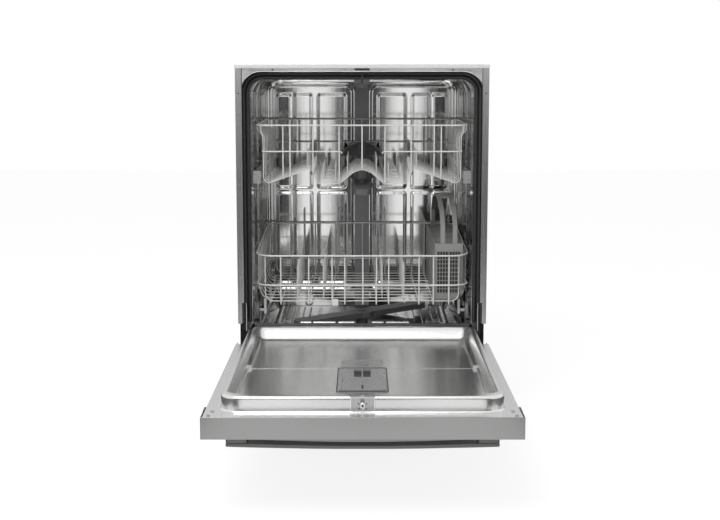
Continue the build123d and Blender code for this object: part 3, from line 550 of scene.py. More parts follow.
def circle(centre, radius, z, count):
    """A closed level loop of points, which starts as the rings do."""
    x, y = centre
    turns = [radians(-90 + 360 * i / count) for i in range(count)]
    loop = [Vector((x + radius * cos(t), y + radius * sin(t), z)) for t in turns]
    return loop + [loop[0]]


floor_runs = (8, 8, 8, 8)
floor_count = 4 * 6 + sum(floor_runs)
floor_edge = ring(floor_half + 0.001, mouth_back - 0.002, tub_back - 0.004, 0.012, tub_floor, 6, floor_runs)
hole_loops = [
    circle((0, wash_y), sump_hole + out, tub_floor - dip, floor_count)
    for out, dip in ((0.030, 0.0005), (0.012, 0.002), (0.0, 0.004))
]


def aligned(outer, loop):
    """Turns a loop so that its points stand opposite those of the outer one."""
    body = loop[:-1]
    centre = sum(body, Vector()) / len(body)
    shift = min(
        range(len(body)),
        key=lambda s: sum(
            (body[(i + s) % len(body)] - outer[i]).length_squared for i in range(0, len(body), 7)
        ),
    )
    turned = body[shift:] + body[:shift]
    return turned + [turned[0]]


floor_loops = [floor_edge] + [aligned(floor_edge, loop) for loop in hole_loops]
tub_floor_sheet = pressed("tub_floor_sheet", floor_loops, sheet, lambda p: Vector((0, 0, 1)))

# two long shallow ribs stand in the floor on each side of the sump
floor_ribs = []
for side in (-1, 1):
    for x in (0.150, 0.196):
        loops = []
        for inset, rise in ((0.0, 0.0), (0.0015, 0.0018), (0.004, 0.0025)):
            loop = ring(0.011 - inset, front + 0.060, front + 0.500, 0.010 - inset, tub_floor + rise)
            loops.append([p + Vector((side * x, 0, 0)) for p in loop])
        floor_ribs.append(merged(skin("floor_rib", loops), holes=True))

tub_steel = finish("tub_steel", (0.60, 0.60, 0.596), 0.04, (0.06, 0.09), 0.02, (260, 260, 5), 1.0)
tub_shell = joined("tub_shell", [tub_wall, tub_floor_sheet] + floor_ribs)
done(tub_shell, 40, "cabinet", "tub_steel", tub_steel, "tub")
# painted light: the mouth is satin, and also much lighter than the same steel of the walls
mouth_steel_painted_light = finish("mouth_steel_painted_light", (0.84, 0.84, 0.835), 0.02, (0.18, 0.24), 0.005, 160, 1.0)
done(tub_mouth, 40, "cabinet", "tub_steel", mouth_steel_painted_light)

# Back wall: the same sheet, with two framed fields and twelve panels pressed in it to keep it stiff.
# It is one drawing with the tub, and every pressed edge is a soft ramp a few millimetres wide.
field_rise = 0.0022
panel_rise = 0.0024
ramp_width = 0.0045


def plateau(x, z, x_limits, z_limits, radius):
    """The share of a pressed field's height at one place, with a soft ramp round its edge."""
    middle_x, middle_z = sum(x_limits) / 2, sum(z_limits) / 2
    reach_x = abs(x - middle_x) - (x_limits[1] - x_limits[0]) / 2 + radius
    reach_z = abs(z - middle_z) - (z_limits[1] - z_limits[0]) / 2 + radius
    distance = hypot(max(reach_x, 0), max(reach_z, 0)) + min(max(reach_x, reach_z), 0) - radius
    return fade(-distance, 0.0, ramp_width)


panel_columns = ((0.043, 0.122), (0.137, 0.189), (0.193, 0.237))
panel_bands = ((0.256, 0.513), (0.523, 0.785))


def back_relief(x, z):
    """How far the back wall stands forward."""
    x = abs(x)
    height = field_rise * plateau(x, z, (0.024, 0.252), (0.238, 0.809), 0.020)
    for limits in panel_columns:
        for band in panel_bands:
            height += panel_rise * plateau(x, z, limits, band, 0.009)
    return height


back_low, back_height = 0.188, 0.640
back_columns = [-tub_half + 2 * tub_half * i / 190 for i in range(191)]
back_rows = [back_low + back_height * j / 180 for j in range(181)]
back_lines = [[Vector((x, tub_back - back_relief(x, z), z)) for x in back_columns] for z in back_rows]
back_wall = skin("tub_back_wall", back_lines)
facing(back_wall, lambda p: Vector((0, -1, 0)))
only(back_wall)
bpy.ops.object.mode_set(mode="EDIT")
bpy.ops.mesh.select_all(action="DESELECT")
bpy.ops.mesh.select_non_manifold()
bpy.ops.mesh.extrude_region_move(TRANSFORM_OT_translate={"value": (0, sheet, 0)})
bpy.ops.mesh.edge_face_add()
object_mode()
# painted light: the back wall is given a lighter tone than the same steel of the side walls
back_steel = finish("back_wall_steel_painted_light", (0.80, 0.80, 0.795), 0.03, (0.06, 0.09), 0.015, (200, 200, 4), 1.0)
done(back_wall, 60, "cabinet", "tub_steel", back_steel, "tub_back_relief")

# Seals: an extruded rubber loop with two lobes, pressed in the mouth's groove, and a lip along the sill.
# Both are soft black rubber, a little shiny where the door rubs it.
rubber = finish("seal_rubber", (0.018, 0.018, 0.019), 0.2, (0.38, 0.55), 0.2, 120)
seal_profile = (
    (0.0000, 0.0380), (0.0000, 0.0275), (0.0012, 0.0255), (0.0035, 0.0246), (0.0058, 0.0258),
    (0.0070, 0.0285), (0.0080, 0.0292), (0.0090, 0.0282), (0.0104, 0.0258), (0.0128, 0.0247),
    (0.0152, 0.0258), (0.0168, 0.0285), (0.0172, 0.0320), (0.0172, 0.0380), (0.0000, 0.0380),
)
seal_half, seal_top = 0.2847, 0.8417
seal_lines = []
for inset, depth in seal_profile:
    half, top = seal_half - inset, seal_top - inset
    seal_lines.append(mouth_line(front + depth, half, top, 0.0467 - inset * 0.85, 0.240))
door_seal = merged(skin("door_seal_loop", seal_lines), holes=True)
done(door_seal, 50, "cabinet", "seal_black", rubber, "door_seal")

sill_profile = (
    (0.0265, 0.2235), (0.0265, 0.2300), (0.0290, 0.2345), (0.0330, 0.2350),
    (0.0380, 0.2330), (0.0380, 0.2235), (0.0265, 0.2235),
)
sill_lines = [[Vector((x, front + y, z)) for x in (-0.262, -0.1, 0.1, 0.262)] for y, z in sill_profile]
sill = merged(skin("sill_lip", sill_lines), holes=True)
done(sill, 50, "cabinet", "seal_black", rubber, "sill_seal")

# Sill strips: short bright steel strips that clamp the sill seal to the edge of the tub's floor.
# They are rolled round on top, and gaps are left between them.
polished = finish("polished_steel", (0.86, 0.86, 0.855), 0.02, (0.12, 0.18), 0.02, 300, 1.0)


def block(name, low, high, bevel, segments=2):
    """A rounded block between two corners."""
    bpy.ops.object.select_all(action="DESELECT")
    bpy.ops.mesh.primitive_cube_add(size=1)
    piece = bpy.context.object
    piece.name = name
    low, high = Vector(low), Vector(high)
    for vertex in piece.data.vertices:
        share = vertex.co + Vector((0.5, 0.5, 0.5))
        vertex.co = [a + (b - a) * s for a, b, s in zip(low, high, share)]
    edit_all(piece)
    bpy.ops.mesh.bevel(offset=bevel, segments=segments, affect="EDGES")
    object_mode()
    return piece


clamp_low, clamp_high = (front + 0.0340, 0.2330), (front + 0.0378, 0.2388)
clamps = []
for x0, x1 in ((-0.151, -0.123), (-0.120, -0.064), (-0.059, -0.018), (0.024, 0.053), (0.058, 0.115)):
    clamps.append(block("sill_clamp", (x0, *clamp_low), (x1, *clamp_high), 0.0015, 3))
done(joined("sill_strips", clamps), 40, "cabinet", "tub_steel", polished)

# Door catch: a black moulded plate screwed to the mouth's upper flange, with a tongue that the latch takes.
# The latch in the door closes on it when the door is shut.
black_plastic = finish("black_plastic", (0.020, 0.020, 0.021), 0.15, (0.28, 0.42), 0.15, 400)
dressed("door_strike", 0.0004, "trim_black", black_plastic)

# Front trims: thin black strips are painted shade in the joints between the tub's flange, the lid and the
# side strips.
# Four small dark screws hold the flange and the strips together. Two punched steel links show at the sill,
# where the hinges take hold of the door.


def side_block(name, side, low, high, bevel):
    """A block given for the right side, or its twin at the left."""
    near_x, far_x = sorted((side * low[0], side * high[0]))
    return block(name, (near_x, *low[1:]), (far_x, *high[1:]), bevel)


# painted shade: black strips along the top joint, down the upper corners and at the lower corners
gap_shade_parts = [block("gap_shade", (-0.2835, front - 0.0012, 0.8512), (0.2835, front + 0.0020, 0.8546), 0.0004)]
for side in (-1, 1):
    for low, high in (
        ((0.2826, front - 0.0004, 0.775), (0.2842, front + 0.0020, 0.8520)),
        ((0.2835, front - 0.0012, 0.2455), (0.2890, front + 0.0010, 0.2915)),
    ):
        gap_shade_parts.append(side_block("gap_shade", side, low, high, 0.0003))
done(joined("flange_gap_shade", gap_shade_parts), 32, "cabinet", "seal_black", rubber)

link_low, link_high = (0.2778, front - 0.002, 0.2235), (0.2800, front + 0.016, 0.2910)
links = [side_block("link", side, link_low, link_high, 0.0005) for side in (-1, 1)]
done(joined("hinge_links", links), 32, "cabinet", "hinge_steel", polished)


def turned(name, x, z, profile, count=20):
    """A piece turned about an axis along the machine's depth, from its radii and depths."""
    turns = [2 * pi * i / count for i in range(count)]
    loops = []
    for radius, y in profile:
        loop = [Vector((x + radius * cos(t), y, z + radius * sin(t))) for t in turns]
        loops.append(loop + [loop[0]])
    return merged(skin(name, loops))


head_profile = (
    (0.0, -0.0008), (0.0009, -0.0009), (0.0010, -0.0016), (0.0020, -0.0014),
    (0.0026, -0.0006), (0.0026, 0.0008), (0.0, 0.0008),
)
head = [(radius, front + y) for radius, y in head_profile]
heads = []
for x, z in ((-0.2913, 0.7921), (0.2915, 0.7915), (-0.2104, 0.8468), (0.2133, 0.8468)):
    heads.append(turned("screw_head", x, z, head))
screw_dark = finish("screw_dark", (0.14, 0.14, 0.14), 0.10, (0.30, 0.42), 0.05, 300, 0.8)
done(joined("front_screws", heads), 32, "cabinet", "hinge_steel", screw_dark)

# Water feed: a flat moulded duct snapped to the back wall and the ceiling, with a port and a sprinkler.
# All three are grey polypropylene with a fine moulded grain.
duct_pale = finish("duct_pale_plastic", (0.26, 0.26, 0.262), 0.06, (0.34, 0.46), 0.10, 500)
for node in ("water_duct", "duct_port", "top_sprinkler"):
    dressed(node, 0.0012, "duct_grey", duct_pale)

# Sump, filter plate and filter cup: a moulded bowl under the tub's floor, with a fine steel mesh over it.
# The plate is pressed from perforated sheet, and the cup lifts out after a quarter turn.
duct_plastic = finish("duct_plastic", (0.095, 0.097, 0.10), 0.08, (0.34, 0.46), 0.12, 500)
dressed("sump", 0.0006, "duct_grey", duct_plastic)

# bright sheet with rows of small dots painted dark as the shade seen through its holes
filter_mesh = bpy.data.materials.new("filter_mesh")
hole_pitch = 0.0022
tree = node_tree(filter_mesh)
shader = added(tree, "BsdfPrincipled", {"Metallic": 1.0})
cells = added(tree, "TexVoronoi", {"Scale": 1 / hole_pitch, "Randomness": 0.0})
hole_shade = added(tree, "MapRange", {"From Min": 0.28, "From Max": 0.36})
link(tree, added(tree, "TexCoord").outputs["Object"], cells.inputs["Vector"])
link(tree, cells.outputs["Distance"], hole_shade.inputs["Value"])
sheet_colour = tint(tree, hole_shade.outputs["Result"], (0.02, 0.02, 0.02), (0.55, 0.55, 0.54))
link(tree, sheet_colour, shader.inputs["Base Color"])
link(tree, between(tree, grain_noise(tree, 90), 0.30, 0.42), shader.inputs["Roughness"])
link(tree, shader.outputs[0], added(tree, "OutputMaterial").inputs["Surface"])
dressed("filter_plate", 0.0004, "filter_steel", filter_mesh)
dressed("filter_cup", 0.0006, "duct_grey", duct_plastic, "filter_cup")

# Base: a black moulded tray that carries the tub, four levelling feet, and an enamelled kick plate.
# The pumps, the valve and the wiring box are clipped inside the tray, and only show from behind.
base_plastic = finish("base_plastic", (0.045, 0.045, 0.048), 0.10, (0.45, 0.60), 0.15, 300)
enamel = finish("black_enamel", (0.030, 0.030, 0.034), 0.06, (0.30, 0.38), 0.06, 160, coat=0.2)
motor_paint = finish("motor_casting", (0.42, 0.42, 0.43), 0.08, (0.40, 0.55), 0.10, 220, 0.8)
pump_plastic = finish("pump_plastic", (0.14, 0.14, 0.15), 0.08, (0.40, 0.52), 0.12, 300)
dressed("base_tray", 0.0008, "base_black", base_plastic)
dressed("levelling_feet", 0.0008, "base_black", base_plastic)
dressed("kick_plate", 0.0006, "kick_black", enamel)
dressed("wash_pump", 0.002, "pump_metal", motor_paint)
dressed("drain_pump", 0.001, "pump_plastic", pump_plastic)
dressed("inlet_valve", 0.001, "pump_plastic", pump_plastic)
dressed("junction_box", 0.0006, "back_steel", zinc_sheet)

# Hinges: zinc-plated brackets riveted to the base, pins with spring sleeves, and arms inside the door.
# The plates are punched from thick sheet, so their edges are only slightly rounded.
hinge_zinc = finish("hinge_zinc", (0.46, 0.46, 0.46), 0.10, (0.32, 0.46), 0.08, 150, 1.0)
for hand in ("left", "right"):
    dressed(f"hinge_arm_{hand}", 0.0004, "hinge_steel", hinge_zinc, "door")
for node in ("hinge_brackets", "hinge_springs"):
    dressed(node, 0.0004, "hinge_steel", hinge_zinc)

# Door skin and handle: brushed stainless sheet folded up round the door, and a bowed bar on two posts in dark
# grey paint, darkened partly as painted shade.
# The brushing runs across the door, from side to side, and the folded edges are rounded.
door_steel = finish("door_steel", (0.33, 0.33, 0.327), 0.03, (0.16, 0.22), 0.04, (5, 800, 800), 1.0)
# the handle's dark grey is partly its own paint and partly painted shade, for the shade under the open door
handle_paint_and_shade = finish("handle_paint_and_shade", (0.15, 0.15, 0.148), 0.05, (0.30, 0.40), 0.05, (6, 500, 500), 0.4)
dressed("door_panel", 0.0016, "door_steel", door_steel, "door", segments=3)
dressed("handle_posts", 0.0015, "door_steel", handle_paint_and_shade, "door", segments=3)
dressed("handle_bar", 0.0015, "door_steel", handle_paint_and_shade, "door", segments=3)
dressed("edge_caps", 0.0008, "trim_black", black_plastic, "door")
dressed("door_screws", 0.0003, "hinge_steel", hinge_zinc, "door")

# Controls: four moulded keys let into the outer skin, and the board's case behind them.
# They face the floor while the door is open.
for number in range(1, 5):
    node = f"control_key_{number}"
    dressed(node, 0.0005, "trim_black", black_plastic, node)
dressed("control_board", 0.0008, "base_black", base_plastic, "door")

# Door liner: a second deep drawing, with a wide raised rim round a shallow dish.
# It is screwed to the door skin through its flange, which is a sheet of its own here. Its satin grain
# runs along the door, from the hinges to the latch.
rim_half, rim_top = 0.271, 0.235
rim_end, rim_heel = front - 0.682, front + 0.005
flange = 0.204
dish_half, dish_floor = 0.257, 0.2075
dish_end, dish_heel = front - 0.656, front - 0.010
rim_radius, dish_radius = 0.038, 0.0225
rim_runs = (12, 12, 12, 60)


def rim_loop(inset, z):
    """One loop of the rim's outer wall."""
    return ring(rim_half - inset, rim_end + inset, rim_heel - inset, rim_radius - inset, z, 8, rim_runs)


def dish_loop(share, z):
    """One loop of the dish's wall, from its lip, share 0, to its foot, share 1."""
    half = dish_half - 0.009 * share
    return ring(half, dish_end + 0.005 * share, dish_heel - 0.022 * share, dish_radius, z, 8, rim_runs)


liner_loops = []
fillet = 0.004
for i in range(4):
    turn = radians(30 * i)
    liner_loops.append(rim_loop(-fillet * (1 - sin(turn)), flange + fillet * (1 - cos(turn))))
for z in (0.212, 0.2165, 0.221, 0.2255, 0.2275):
    liner_loops.append(rim_loop(0.0, z))
rim_edge = 0.0055
for i in range(7):
    turn = radians(15 * i)
    liner_loops.append(rim_loop(rim_edge * (1 - cos(turn)), rim_top - rim_edge + rim_edge * sin(turn)))
lip = 0.003
lip_loops = []
for i in range(5):
    turn = radians(18 * i)
    share = -lip / 0.009 * (1 - sin(turn))
    lip_loops.append(dish_loop(share, rim_top - lip * (1 - cos(turn))))
latch_room = (0.0239, rim_end + 0.0181)
rim_share = (latch_room[1] - liner_loops[-1][0].y) / (lip_loops[0][0].y - liner_loops[-1][0].y)
liner_loops.append([a.lerp(b, rim_share) for a, b in zip(liner_loops[-1], lip_loops[0])])
liner_loops += lip_loops
for share, z in ((0.35, 0.2255), (0.75, 0.2135), (0.93, 0.2092), (1.06, 0.2078), (1.35, dish_floor)):
    liner_loops.append(dish_loop(share, z))

for loop in liner_loops:
    for point in loop:
        if point.y < rim_end + 0.03 and 0.0225 < abs(point.x) < 0.0245:
            point.x = latch_room[0] if point.x > 0 else -latch_room[0]
pocket_loop = ring(0.0495, front - 0.5375, front - 0.3345, 0.001, dish_floor, 8, rim_runs)
liner_loops.append(pocket_loop)
liner_skin = merged(skin("liner_skin", liner_loops), outward=False)
facing(liner_skin, lambda p: Vector((0, 0, 1)))

# the latch stands in a window in that wall
only(liner_skin)
bpy.ops.object.mode_set(mode="EDIT")
bpy.ops.mesh.select_mode(type="FACE")
bpy.ops.mesh.select_all(action="DESELECT")
object_mode()
for face in liner_skin.data.polygons:
    x, y, z = face.center
    face.select = abs(x) < latch_room[0] and y < latch_room[1] and z > 0.2061
bpy.ops.object.mode_set(mode="EDIT")
bpy.ops.mesh.delete(type="FACE")
bpy.ops.mesh.select_mode(type="VERT")
object_mode()
walled(liner_skin, 0.0012)

flange_half, flange_sheet = 0.2995, 0.0015
flange_near = front - 0.717 + flange_sheet
flange_far = front - 0.062


def flange_line(half, near, radius, z):
    """A line round the flange's three sides, open at the heel."""
    corners = [(-half, flange_far, z), (-half, near, z), (half, near, z), (half, flange_far, z)]
    return bent(corners, radius, 8)


inner_half, inner_near = rim_half + fillet - 0.001, rim_end - fillet + 0.001
outer, inner = (flange_half, flange_near, 0.001), (inner_half, inner_near, 0.041)
flange_loops = []
low = flange - flange_sheet
for edge, z in ((outer, low), (outer, flange), (inner, flange), (inner, low), (outer, low)):
    flange_loops.append(flange_line(*edge, z))
liner_flange = merged(skin("liner_flange", flange_loops), holes=True)

dish_step = front - 0.333
raised = 0.0005
liner_parts = [liner_skin, liner_flange]
for side in (-1, 1):
    for name, low, high, bevel in (
        ("liner_step", (0.0535, dish_step), (0.2385, dish_heel - 0.030, dish_floor + raised), 0.0003),
        ("liner_ledge", (0.239, dish_step), (0.2525, dish_heel - 0.024, 0.2150), 0.0008),
        ("liner_ledge", (0.2455, dish_end + 0.022), (0.2545, dish_step + 0.002, 0.2120), 0.0008),
    ):
        liner_parts.append(side_block(name, side, (*low, dish_floor - 0.001), high, bevel))
liner_steel = finish("liner_steel", (0.74, 0.74, 0.736), 0.03, (0.19, 0.25), 0.02, (300, 5, 300), 1.0)
done(joined("door_liner_pressing", liner_parts), 40, "door", "liner_steel", liner_steel, "door_liner")

# Latch: a moulded keeper let into the rim's end wall, with a thin bezel, a bright collar and four black discs
# painted as the shade in its vent holes.
# A sprung steel plunger stands in its bore and tells the machine that the door is shut.
satin_grey = finish("latch_satin", (0.50, 0.50, 0.50), 0.03, (0.26, 0.32), 0.02, 350, 0.9)
dressed("latch_body", 0.0005, "trim_black", satin_grey, "door")
dressed("latch_plunger", 0.0008, "latch_bright", polished, "latch_plunger", segments=3)
plunger_z = 0.2165
bezel_profile = (
    (0.0, 0.0005), (0.0002, -0.0002), (0.0008, -0.0004),
    (0.0016, -0.0002), (0.0018, 0.0005), (0.0, 0.0005),
)
bezel_loops = []
for inset, y in bezel_profile:
    loop = ring(0.0237 - inset, 0.2062 + inset, 0.2342 - inset, 0.0028 - inset, 0.0, 5)
    bezel_loops.append([Vector((p.x, rim_end + y, p.y)) for p in loop])
collar_profile = (
    (0.0063, 0.0008), (0.0063, -0.0003), (0.0059, -0.0006),
    (0.0056, -0.0003), (0.0055, 0.0008), (0.0063, 0.0008),
)
collar = [(radius, rim_end + y) for radius, y in collar_profile]
latch_trim = joined("latch_bezel", [
    merged(skin("bezel", bezel_loops)),
    turned("plunger_collar", 0.0, plunger_z, collar, 28),
])
done(latch_trim, 50, "door", "latch_bright", polished)
dark_dot = ((0.0, -0.0003), (0.0012, -0.0003), (0.0015, 0.0), (0.0015, 0.0006), (0.0, 0.0006))
# painted shade: black discs stand in the four vent holes
vent_shade_discs = []
for angle in (30, 150, 218, 322):
    x, z = 0.0088 * cos(radians(angle)), plunger_z + 0.0088 * sin(radians(angle))
    vent_shade_discs.append(turned("vent_shade", x, z, [(radius, rim_end + y) for radius, y in dark_dot], 12))
done(joined("latch_vent_shade", vent_shade_discs), 32, "door", "trim_black", black_plastic)
eye_profile = [(radius * 1.7, rim_end + 0.0001 + y) for radius, y in dark_dot]
eye = turned("plunger_eye", 0.0, plunger_z, eye_profile, 20)
done(eye, 32, "latch_plunger", "trim_black", black_plastic)

# Detergent dispenser: a grey moulding clipped in the dish's floor, with a sliding lid over the powder cup.
# A black gasket shows round it. Two dark windows in the body and a rinse-aid cap lie behind the lid, and a
# slot in the lid and another in the body take a fingernail; thin black blocks in the slots are painted shade.
dispenser_grey = finish("dispenser_grey", (0.26, 0.26, 0.262), 0.06, (0.24, 0.34), 0.08, 420)
dressed("dispenser_body", 0.0006, "dispenser_grey", dispenser_grey, "door")
dressed("dispenser_lid", 0.0009, "dispenser_grey", dispenser_grey, "dispenser_lid", segments=3)
dressed("rinse_cap", 0.0007, "dispenser_grey", dispenser_grey, "rinse_cap")
face_z = dish_floor + 0.001
gasket_profile = ((0.0, -0.0006), (0.0002, 0.0008), (0.0020, 0.0008), (0.0022, -0.0006), (0.0, -0.0006))
gasket_loops = []
for inset, rise in gasket_profile:
    near_y, far_y = front - 0.5409 + inset, front - 0.3311 - inset
    gasket_loops.append(ring(0.0529 - inset, near_y, far_y, 0.005 - inset, face_z + rise, 5))
gasket = merged(skin("dispenser_gasket", gasket_loops))
done(gasket, 50, "door", "seal_black", rubber)
slot_low = (-0.0016, front - 0.4735, face_z - 0.001)
slot_high = (0.0016, front - 0.458, face_z + 0.0001)
window_low = (0.0019, front - 0.4119, face_z - 0.0062)
window_high = (0.0175, front - 0.3411, face_z - 0.0050)
# painted shade: a thin black block in the body's fingernail slot
dark_parts = [block("seat_slot_shade", slot_low, slot_high, 0.00005)]
for side in (-1, 1):
    dark_parts.append(side_block("window", side, window_low, window_high, 0.0002))
windows = joined("dispenser_windows", dark_parts)
fit(windows, "door", "trim_black", black_plastic)
# painted shade: a thin black block in the lid's fingernail slot
lid_slot_shade = block("lid_slot_shade", (-0.0018, front - 0.5265, 0.2102), (0.0018, front - 0.4905, 0.2107), 0.0001)
fit(lid_slot_shade, "dispenser_lid", "trim_black", black_plastic)

# Upper rack: drawn steel wire, bent and spot-welded in a grid, then dipped in a pale satin nylon coat.
# Every wire is round, with its corners bent in small arcs. The rim is the thickest, and the cross wires and
# tines are the thinnest. Stub axles on two carriers at each side take its wheels.
rack_coat = finish("rack_coat", (0.66, 0.66, 0.64), 0.06, (0.26, 0.38), 0.10, 500, coat=0.25)


def wires(name, lines, radius, sides=2):
    """Round wires along several lines, as one mesh. A line that ends where it starts is a closed loop."""
    curve = bpy.data.curves.new(name, "CURVE")
    curve.dimensions = "3D"
    curve.bevel_depth = radius
    curve.bevel_resolution = sides
    curve.use_fill_caps = True
    for line in lines:
        closed = (Vector(line[0]) - Vector(line[-1])).length < 1e-6
        points = line[:-1] if closed else line
        spline = curve.splines.new("POLY")
        spline.points.add(len(points) - 1)
        for point, place in zip(spline.points, points):
            point.co = (*place, 1)
        spline.use_cyclic_u = closed
    piece = bpy.data.objects.new(name, curve)
    bpy.context.scene.collection.objects.link(piece)
    only(piece)
    bpy.ops.object.convert(target="MESH")
    piece = bpy.context.object
    merged(piece)
    smooth(piece, 60)
    return piece


upper_near, upper_far = front + 0.037, front + 0.496
upper_rows = [upper_near + 0.0075 + 0.444 * i / 9 for i in range(10)]
upper_profile = (
    (0.0, 0.6110), (0.022, 0.6030), (0.054, 0.5755), (0.108, 0.5765),
    (0.123, 0.6130), (0.150, 0.6030), (0.226, 0.5770), (0.237, 0.5860),
    (0.238, 0.6880), (0.254, 0.7010), (0.254, 0.7155),
)


def profile_height(profile, x):
    """Height of a bent profile at one place across the width."""
    for (x0, z0), (x1, z1) in zip(profile, profile[1:]):
        if x0 <= abs(x) <= x1 and x1 > x0:
            return z0 + (z1 - z0) * (abs(x) - x0) / (x1 - x0)
    return profile[-1][1]


upper_thick = [ring(0.254, upper_near + 0.002, upper_far - 0.002, 0.028, 0.716, 8)]
upper_thin = []
upper_fine = []
end_profile = upper_profile[:-2] + ((0.2425, 0.7010), (0.2425, 0.7155))
for y in upper_rows:
    profile = upper_profile if upper_rows[0] < y < upper_rows[-1] else end_profile
    right = [Vector((x, y, z)) for x, z in profile]
    left = [Vector((-p.x, p.y, p.z)) for p in reversed(right[1:])]
    upper_fine.append(bent(left + right, 0.010, 4))
for x in (-0.190, -0.173, -0.118, -0.055, 0.0, 0.055, 0.118, 0.173, 0.190):
    low = profile_height(upper_profile, x) - 0.0028
    near_y, far_y = upper_near + 0.0045, upper_far - 0.0045
    line = [(x, near_y, 0.716), (x, near_y, low), (x, far_y, low), (x, far_y, 0.716)]
    upper_thin.append(bent(line, 0.006, 4))
band_half, band_z = 0.2410, 0.6535
band_right = [
    (band_half, upper_far - 0.0015, band_z),
    (band_half, upper_near + 0.0015, band_z),
    (0.052, upper_near + 0.0015, band_z),
    (0.048, upper_near + 0.004, band_z - 0.004),
]
band = [(-x, y, z) for x, y, z in reversed(band_right)] + band_right
upper_thin.append(bent(band, 0.015, 5))
tine_columns = (0.036, 0.066, 0.096, 0.136)
for y in upper_rows[2:9]:
    for x in tine_columns:
        for side in (-1, 1):
            foot = profile_height(upper_profile, x)
            top = foot + 0.040
            tip = (side * (x + 0.002), y, top)
            upper_fine.append([(side * x, y, foot), (side * x, y, top - 0.004), tip])
upper_wire = joined("upper_rack_wires", [
    wires("upper_rim", upper_thick, 0.0020),
    wires("upper_grid", upper_thin, 0.0017),
    wires("upper_cross", upper_fine, 0.0012),
])
wheel_grey = finish("wheel_grey", (0.17, 0.17, 0.18), 0.08, (0.34, 0.48), 0.10, 450)
carriers = []
for side in (-1, 1):
    for y in (front + 0.340, front + 0.440):
        low, high = (0.2385, y - 0.012, 0.578), (0.243, y + 0.012, 0.620)
        carriers.append(side_block("wheel_carrier", side, low, high, 0.0012))
        axle = [(side * 0.242, y, 0.590), (side * 0.2535, y, 0.590)]
        carriers.append(wires("axle", [axle], 0.004, 3))
upper_rack = joined("upper_rack_basket", [upper_wire] + carriers)
fit(upper_rack, "upper_rack", "rack_wire", rack_coat, "upper_rack")

# Lower rack: the same wire in a deeper basket, with a rim that rises to the back, plate tines and axles.
# Its wheels are moulded nylon, and clip over stub axles below the sides.
lower_near, lower_far = front + 0.040, front + 0.506
lower_rows = [lower_near + 0.012 + 0.442 * i / 10 for i in range(11)]
rim_low, rim_high = 0.402, 0.430


def lower_rim(y):
    """Height of the lower rack's rim at one depth."""
    return rim_low + (rim_high - rim_low) * (y - lower_near) / (lower_far - lower_near)


rim_ring = ring(0.259, lower_near + 0.002, lower_far - 0.002, 0.043, 0.0, 8, (4, 4, 4, 4))
lower_thick = [
    [(p.x, p.y, lower_rim(p.y) - 0.002) for p in rim_ring],
    ring(0.259, lower_near + 0.002, lower_far - 0.002, 0.043, 0.328, 8),
]
lower_thin = []
lower_fine = []
for y in lower_rows:
    top = lower_rim(y) - 0.003
    if lower_rows[0] < y < lower_rows[-1]:
        right = [(0.2400, 0.2875), (0.2490, 0.2980), (0.2555, 0.3220), (0.2555, top)]
    else:
        right = [(0.2260, 0.2875), (0.2365, 0.3000), (0.2365, top)]
    line = [Vector((-x, y, z)) for x, z in reversed(right)] + [Vector((x, y, z)) for x, z in right]
    lower_fine.append(bent(line, 0.022, 6))
foot, curl = 0.2875 - 0.003, 0.0045
for x in (-0.198, -0.130, -0.073, -0.042, 0.002, 0.035, 0.065, 0.139, 0.174, 0.212):
    line = [
        (x, lower_near + 0.0055, rim_low - 0.001),
        (x, lower_near + 0.0050, foot - curl),
        (x, lower_near + 0.012, foot - curl),
        (x, lower_near + 0.022, foot),
        (x, lower_far - 0.0055, foot),
        (x, lower_far - 0.0055, rim_high - 0.002),
    ]
    lower_thin.append(bent(line, 0.006, 4))
for x in (-0.224, -0.160, -0.096, 0.104, 0.224):
    lower_thin.append([(x, lower_rows[0], 0.2845), (x, lower_rows[-1], 0.2845)])
tine_top = 0.370
for x in (-0.160, -0.096, 0.050, 0.104):
    for y in lower_rows[1:10]:
        lower_fine.append([(x, y, 0.2860), (x, y, 0.340), (x, y + 0.004, tine_top)])
for x in (-0.160, -0.066, 0.064, 0.119):
    lower_thin.append([(x, lower_rows[-1], 0.2860), (x, lower_rows[-1], 0.468)])
lower_wire = joined("lower_rack_wires", [
    wires("lower_rim", lower_thick, 0.0021),
    wires("lower_grid", lower_thin, 0.0018),
    wires("lower_cross", lower_fine, 0.0013),
])
lower_parts = [lower_wire]
for side in (-1, 1):
    for y in (lower_rows[1], lower_rows[5], lower_rows[9]):
        low, high = (0.237, y - 0.009, 0.2485), (0.243, y + 0.009, 0.2865)
        lower_parts.append(side_block("axle_leg", side, low, high, 0.0015))
        axle = [(side * 0.242, y, 0.2575), (side * 0.2623, y, 0.2575)]
        lower_parts.append(wires("axle", [axle], 0.004, 3))
clip_low, clip_high = (-0.0725, lower_near + 0.0015, 0.2768), (-0.0580, lower_near + 0.0085, 0.2930)
lower_parts.append(block("front_clip", clip_low, clip_high, 0.0012))
lower_rack = joined("lower_rack_basket", lower_parts)
fit(lower_rack, "lower_rack", "rack_wire", rack_coat, "lower_rack", "lower_tines")
for place in ("front", "middle", "rear"):
    node = f"lower_wheels_{place}"
    dressed(node, 0.0010, "wheel_grey", wheel_grey, node)

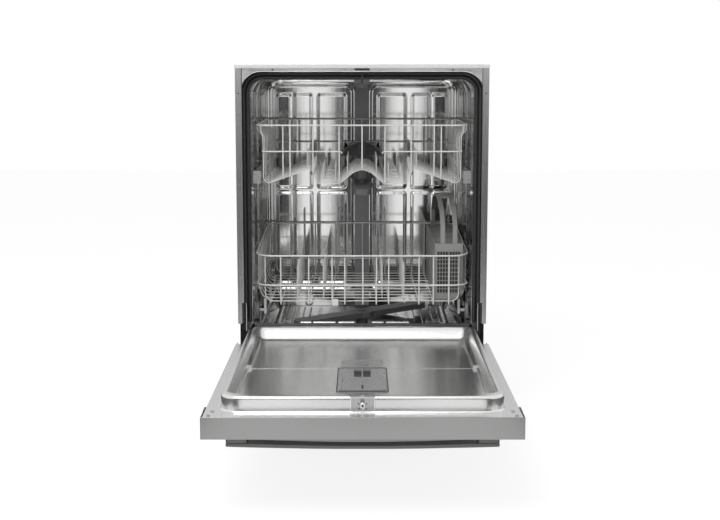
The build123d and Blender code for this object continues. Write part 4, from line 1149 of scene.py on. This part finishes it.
# Running gear of the upper rack: rolled steel rails on rollers that are screwed to the tub's walls.
# The rollers are moulded nylon on steel axles.
rail_steel = finish("rail_steel", (0.58, 0.58, 0.58), 0.05, (0.24, 0.34), 0.04, (700, 6, 700), 1.0)
for hand in ("left", "right"):
    node = f"slide_rail_{hand}"
    dressed(node, 0.0003, "rail_steel", rail_steel, "slide_rails")
dressed("roller_brackets", 0.0004, "wheel_grey", wheel_grey)
for node in ("rail_rollers_front", "rail_rollers_rear", "upper_wheels_front", "upper_wheels_rear"):
    dressed(node, 0.0008, "wheel_grey", wheel_grey, node)

# Spray arms and the feed pipe: dark grey mouldings welded from two halves, with jets on top.
# The upper arm hangs under its rack, and the lower one turns on a post in the sump.
dressed("spray_feed", 0.0008, "duct_grey", duct_plastic, "upper_rack")
dressed("upper_spray_arm", 0.002, "duct_grey", duct_plastic, "upper_spray_arm", segments=3)
dressed("lower_spray_arm", 0.002, "duct_grey", duct_plastic, "lower_spray_arm", segments=3)

# Cutlery basket: a long moulded box in grey polypropylene, with an arched carrying handle.
# It stands in the lower rack, against its right side. Lattice bars stand proud of its front wall, and a thin
# black plate under them is painted shade in the holes between the bars.
basket_grey = finish("basket_grey", (0.25, 0.248, 0.24), 0.05, (0.36, 0.48), 0.10, 380)
dressed("cutlery_basket", 0.0005, "basket_grey", basket_grey, "lower_rack")
dressed("basket_handle", 0.0009, "basket_grey", basket_grey, "lower_rack")
basket_near = front + 0.060
basket_low, basket_top = 0.3060, 0.4090
bars = []
for left_x, right_x in ((0.1835, 0.2105), (0.2135, 0.2405)):
    for i in range(5):
        x = left_x + (right_x - left_x) * i / 4
        low = (x - 0.0008, basket_near - 0.0008, basket_low)
        high = (x + 0.0008, basket_near + 0.0004, basket_top)
        bars.append(block("bar", low, high, 0.0002))
for i in range(11):
    z = basket_low + (basket_top - basket_low) * i / 10
    low = (0.1827, basket_near - 0.0010, z - 0.0009)
    high = (0.2413, basket_near + 0.0004, z + 0.0009)
    bars.append(block("bar", low, high, 0.0002))
done(joined("basket_lattice", bars), 32, "lower_rack", "basket_grey", basket_grey)
# painted shade: a black plate behind the bars darkens the holes between them
plate_low = (0.1835, basket_near - 0.0002, basket_low)
plate_high = (0.2405, basket_near + 0.0002, basket_top)
behind = block("basket_painted_shade", plate_low, plate_high, 0.00005)
fit(behind, "lower_rack", "trim_black", black_plastic)
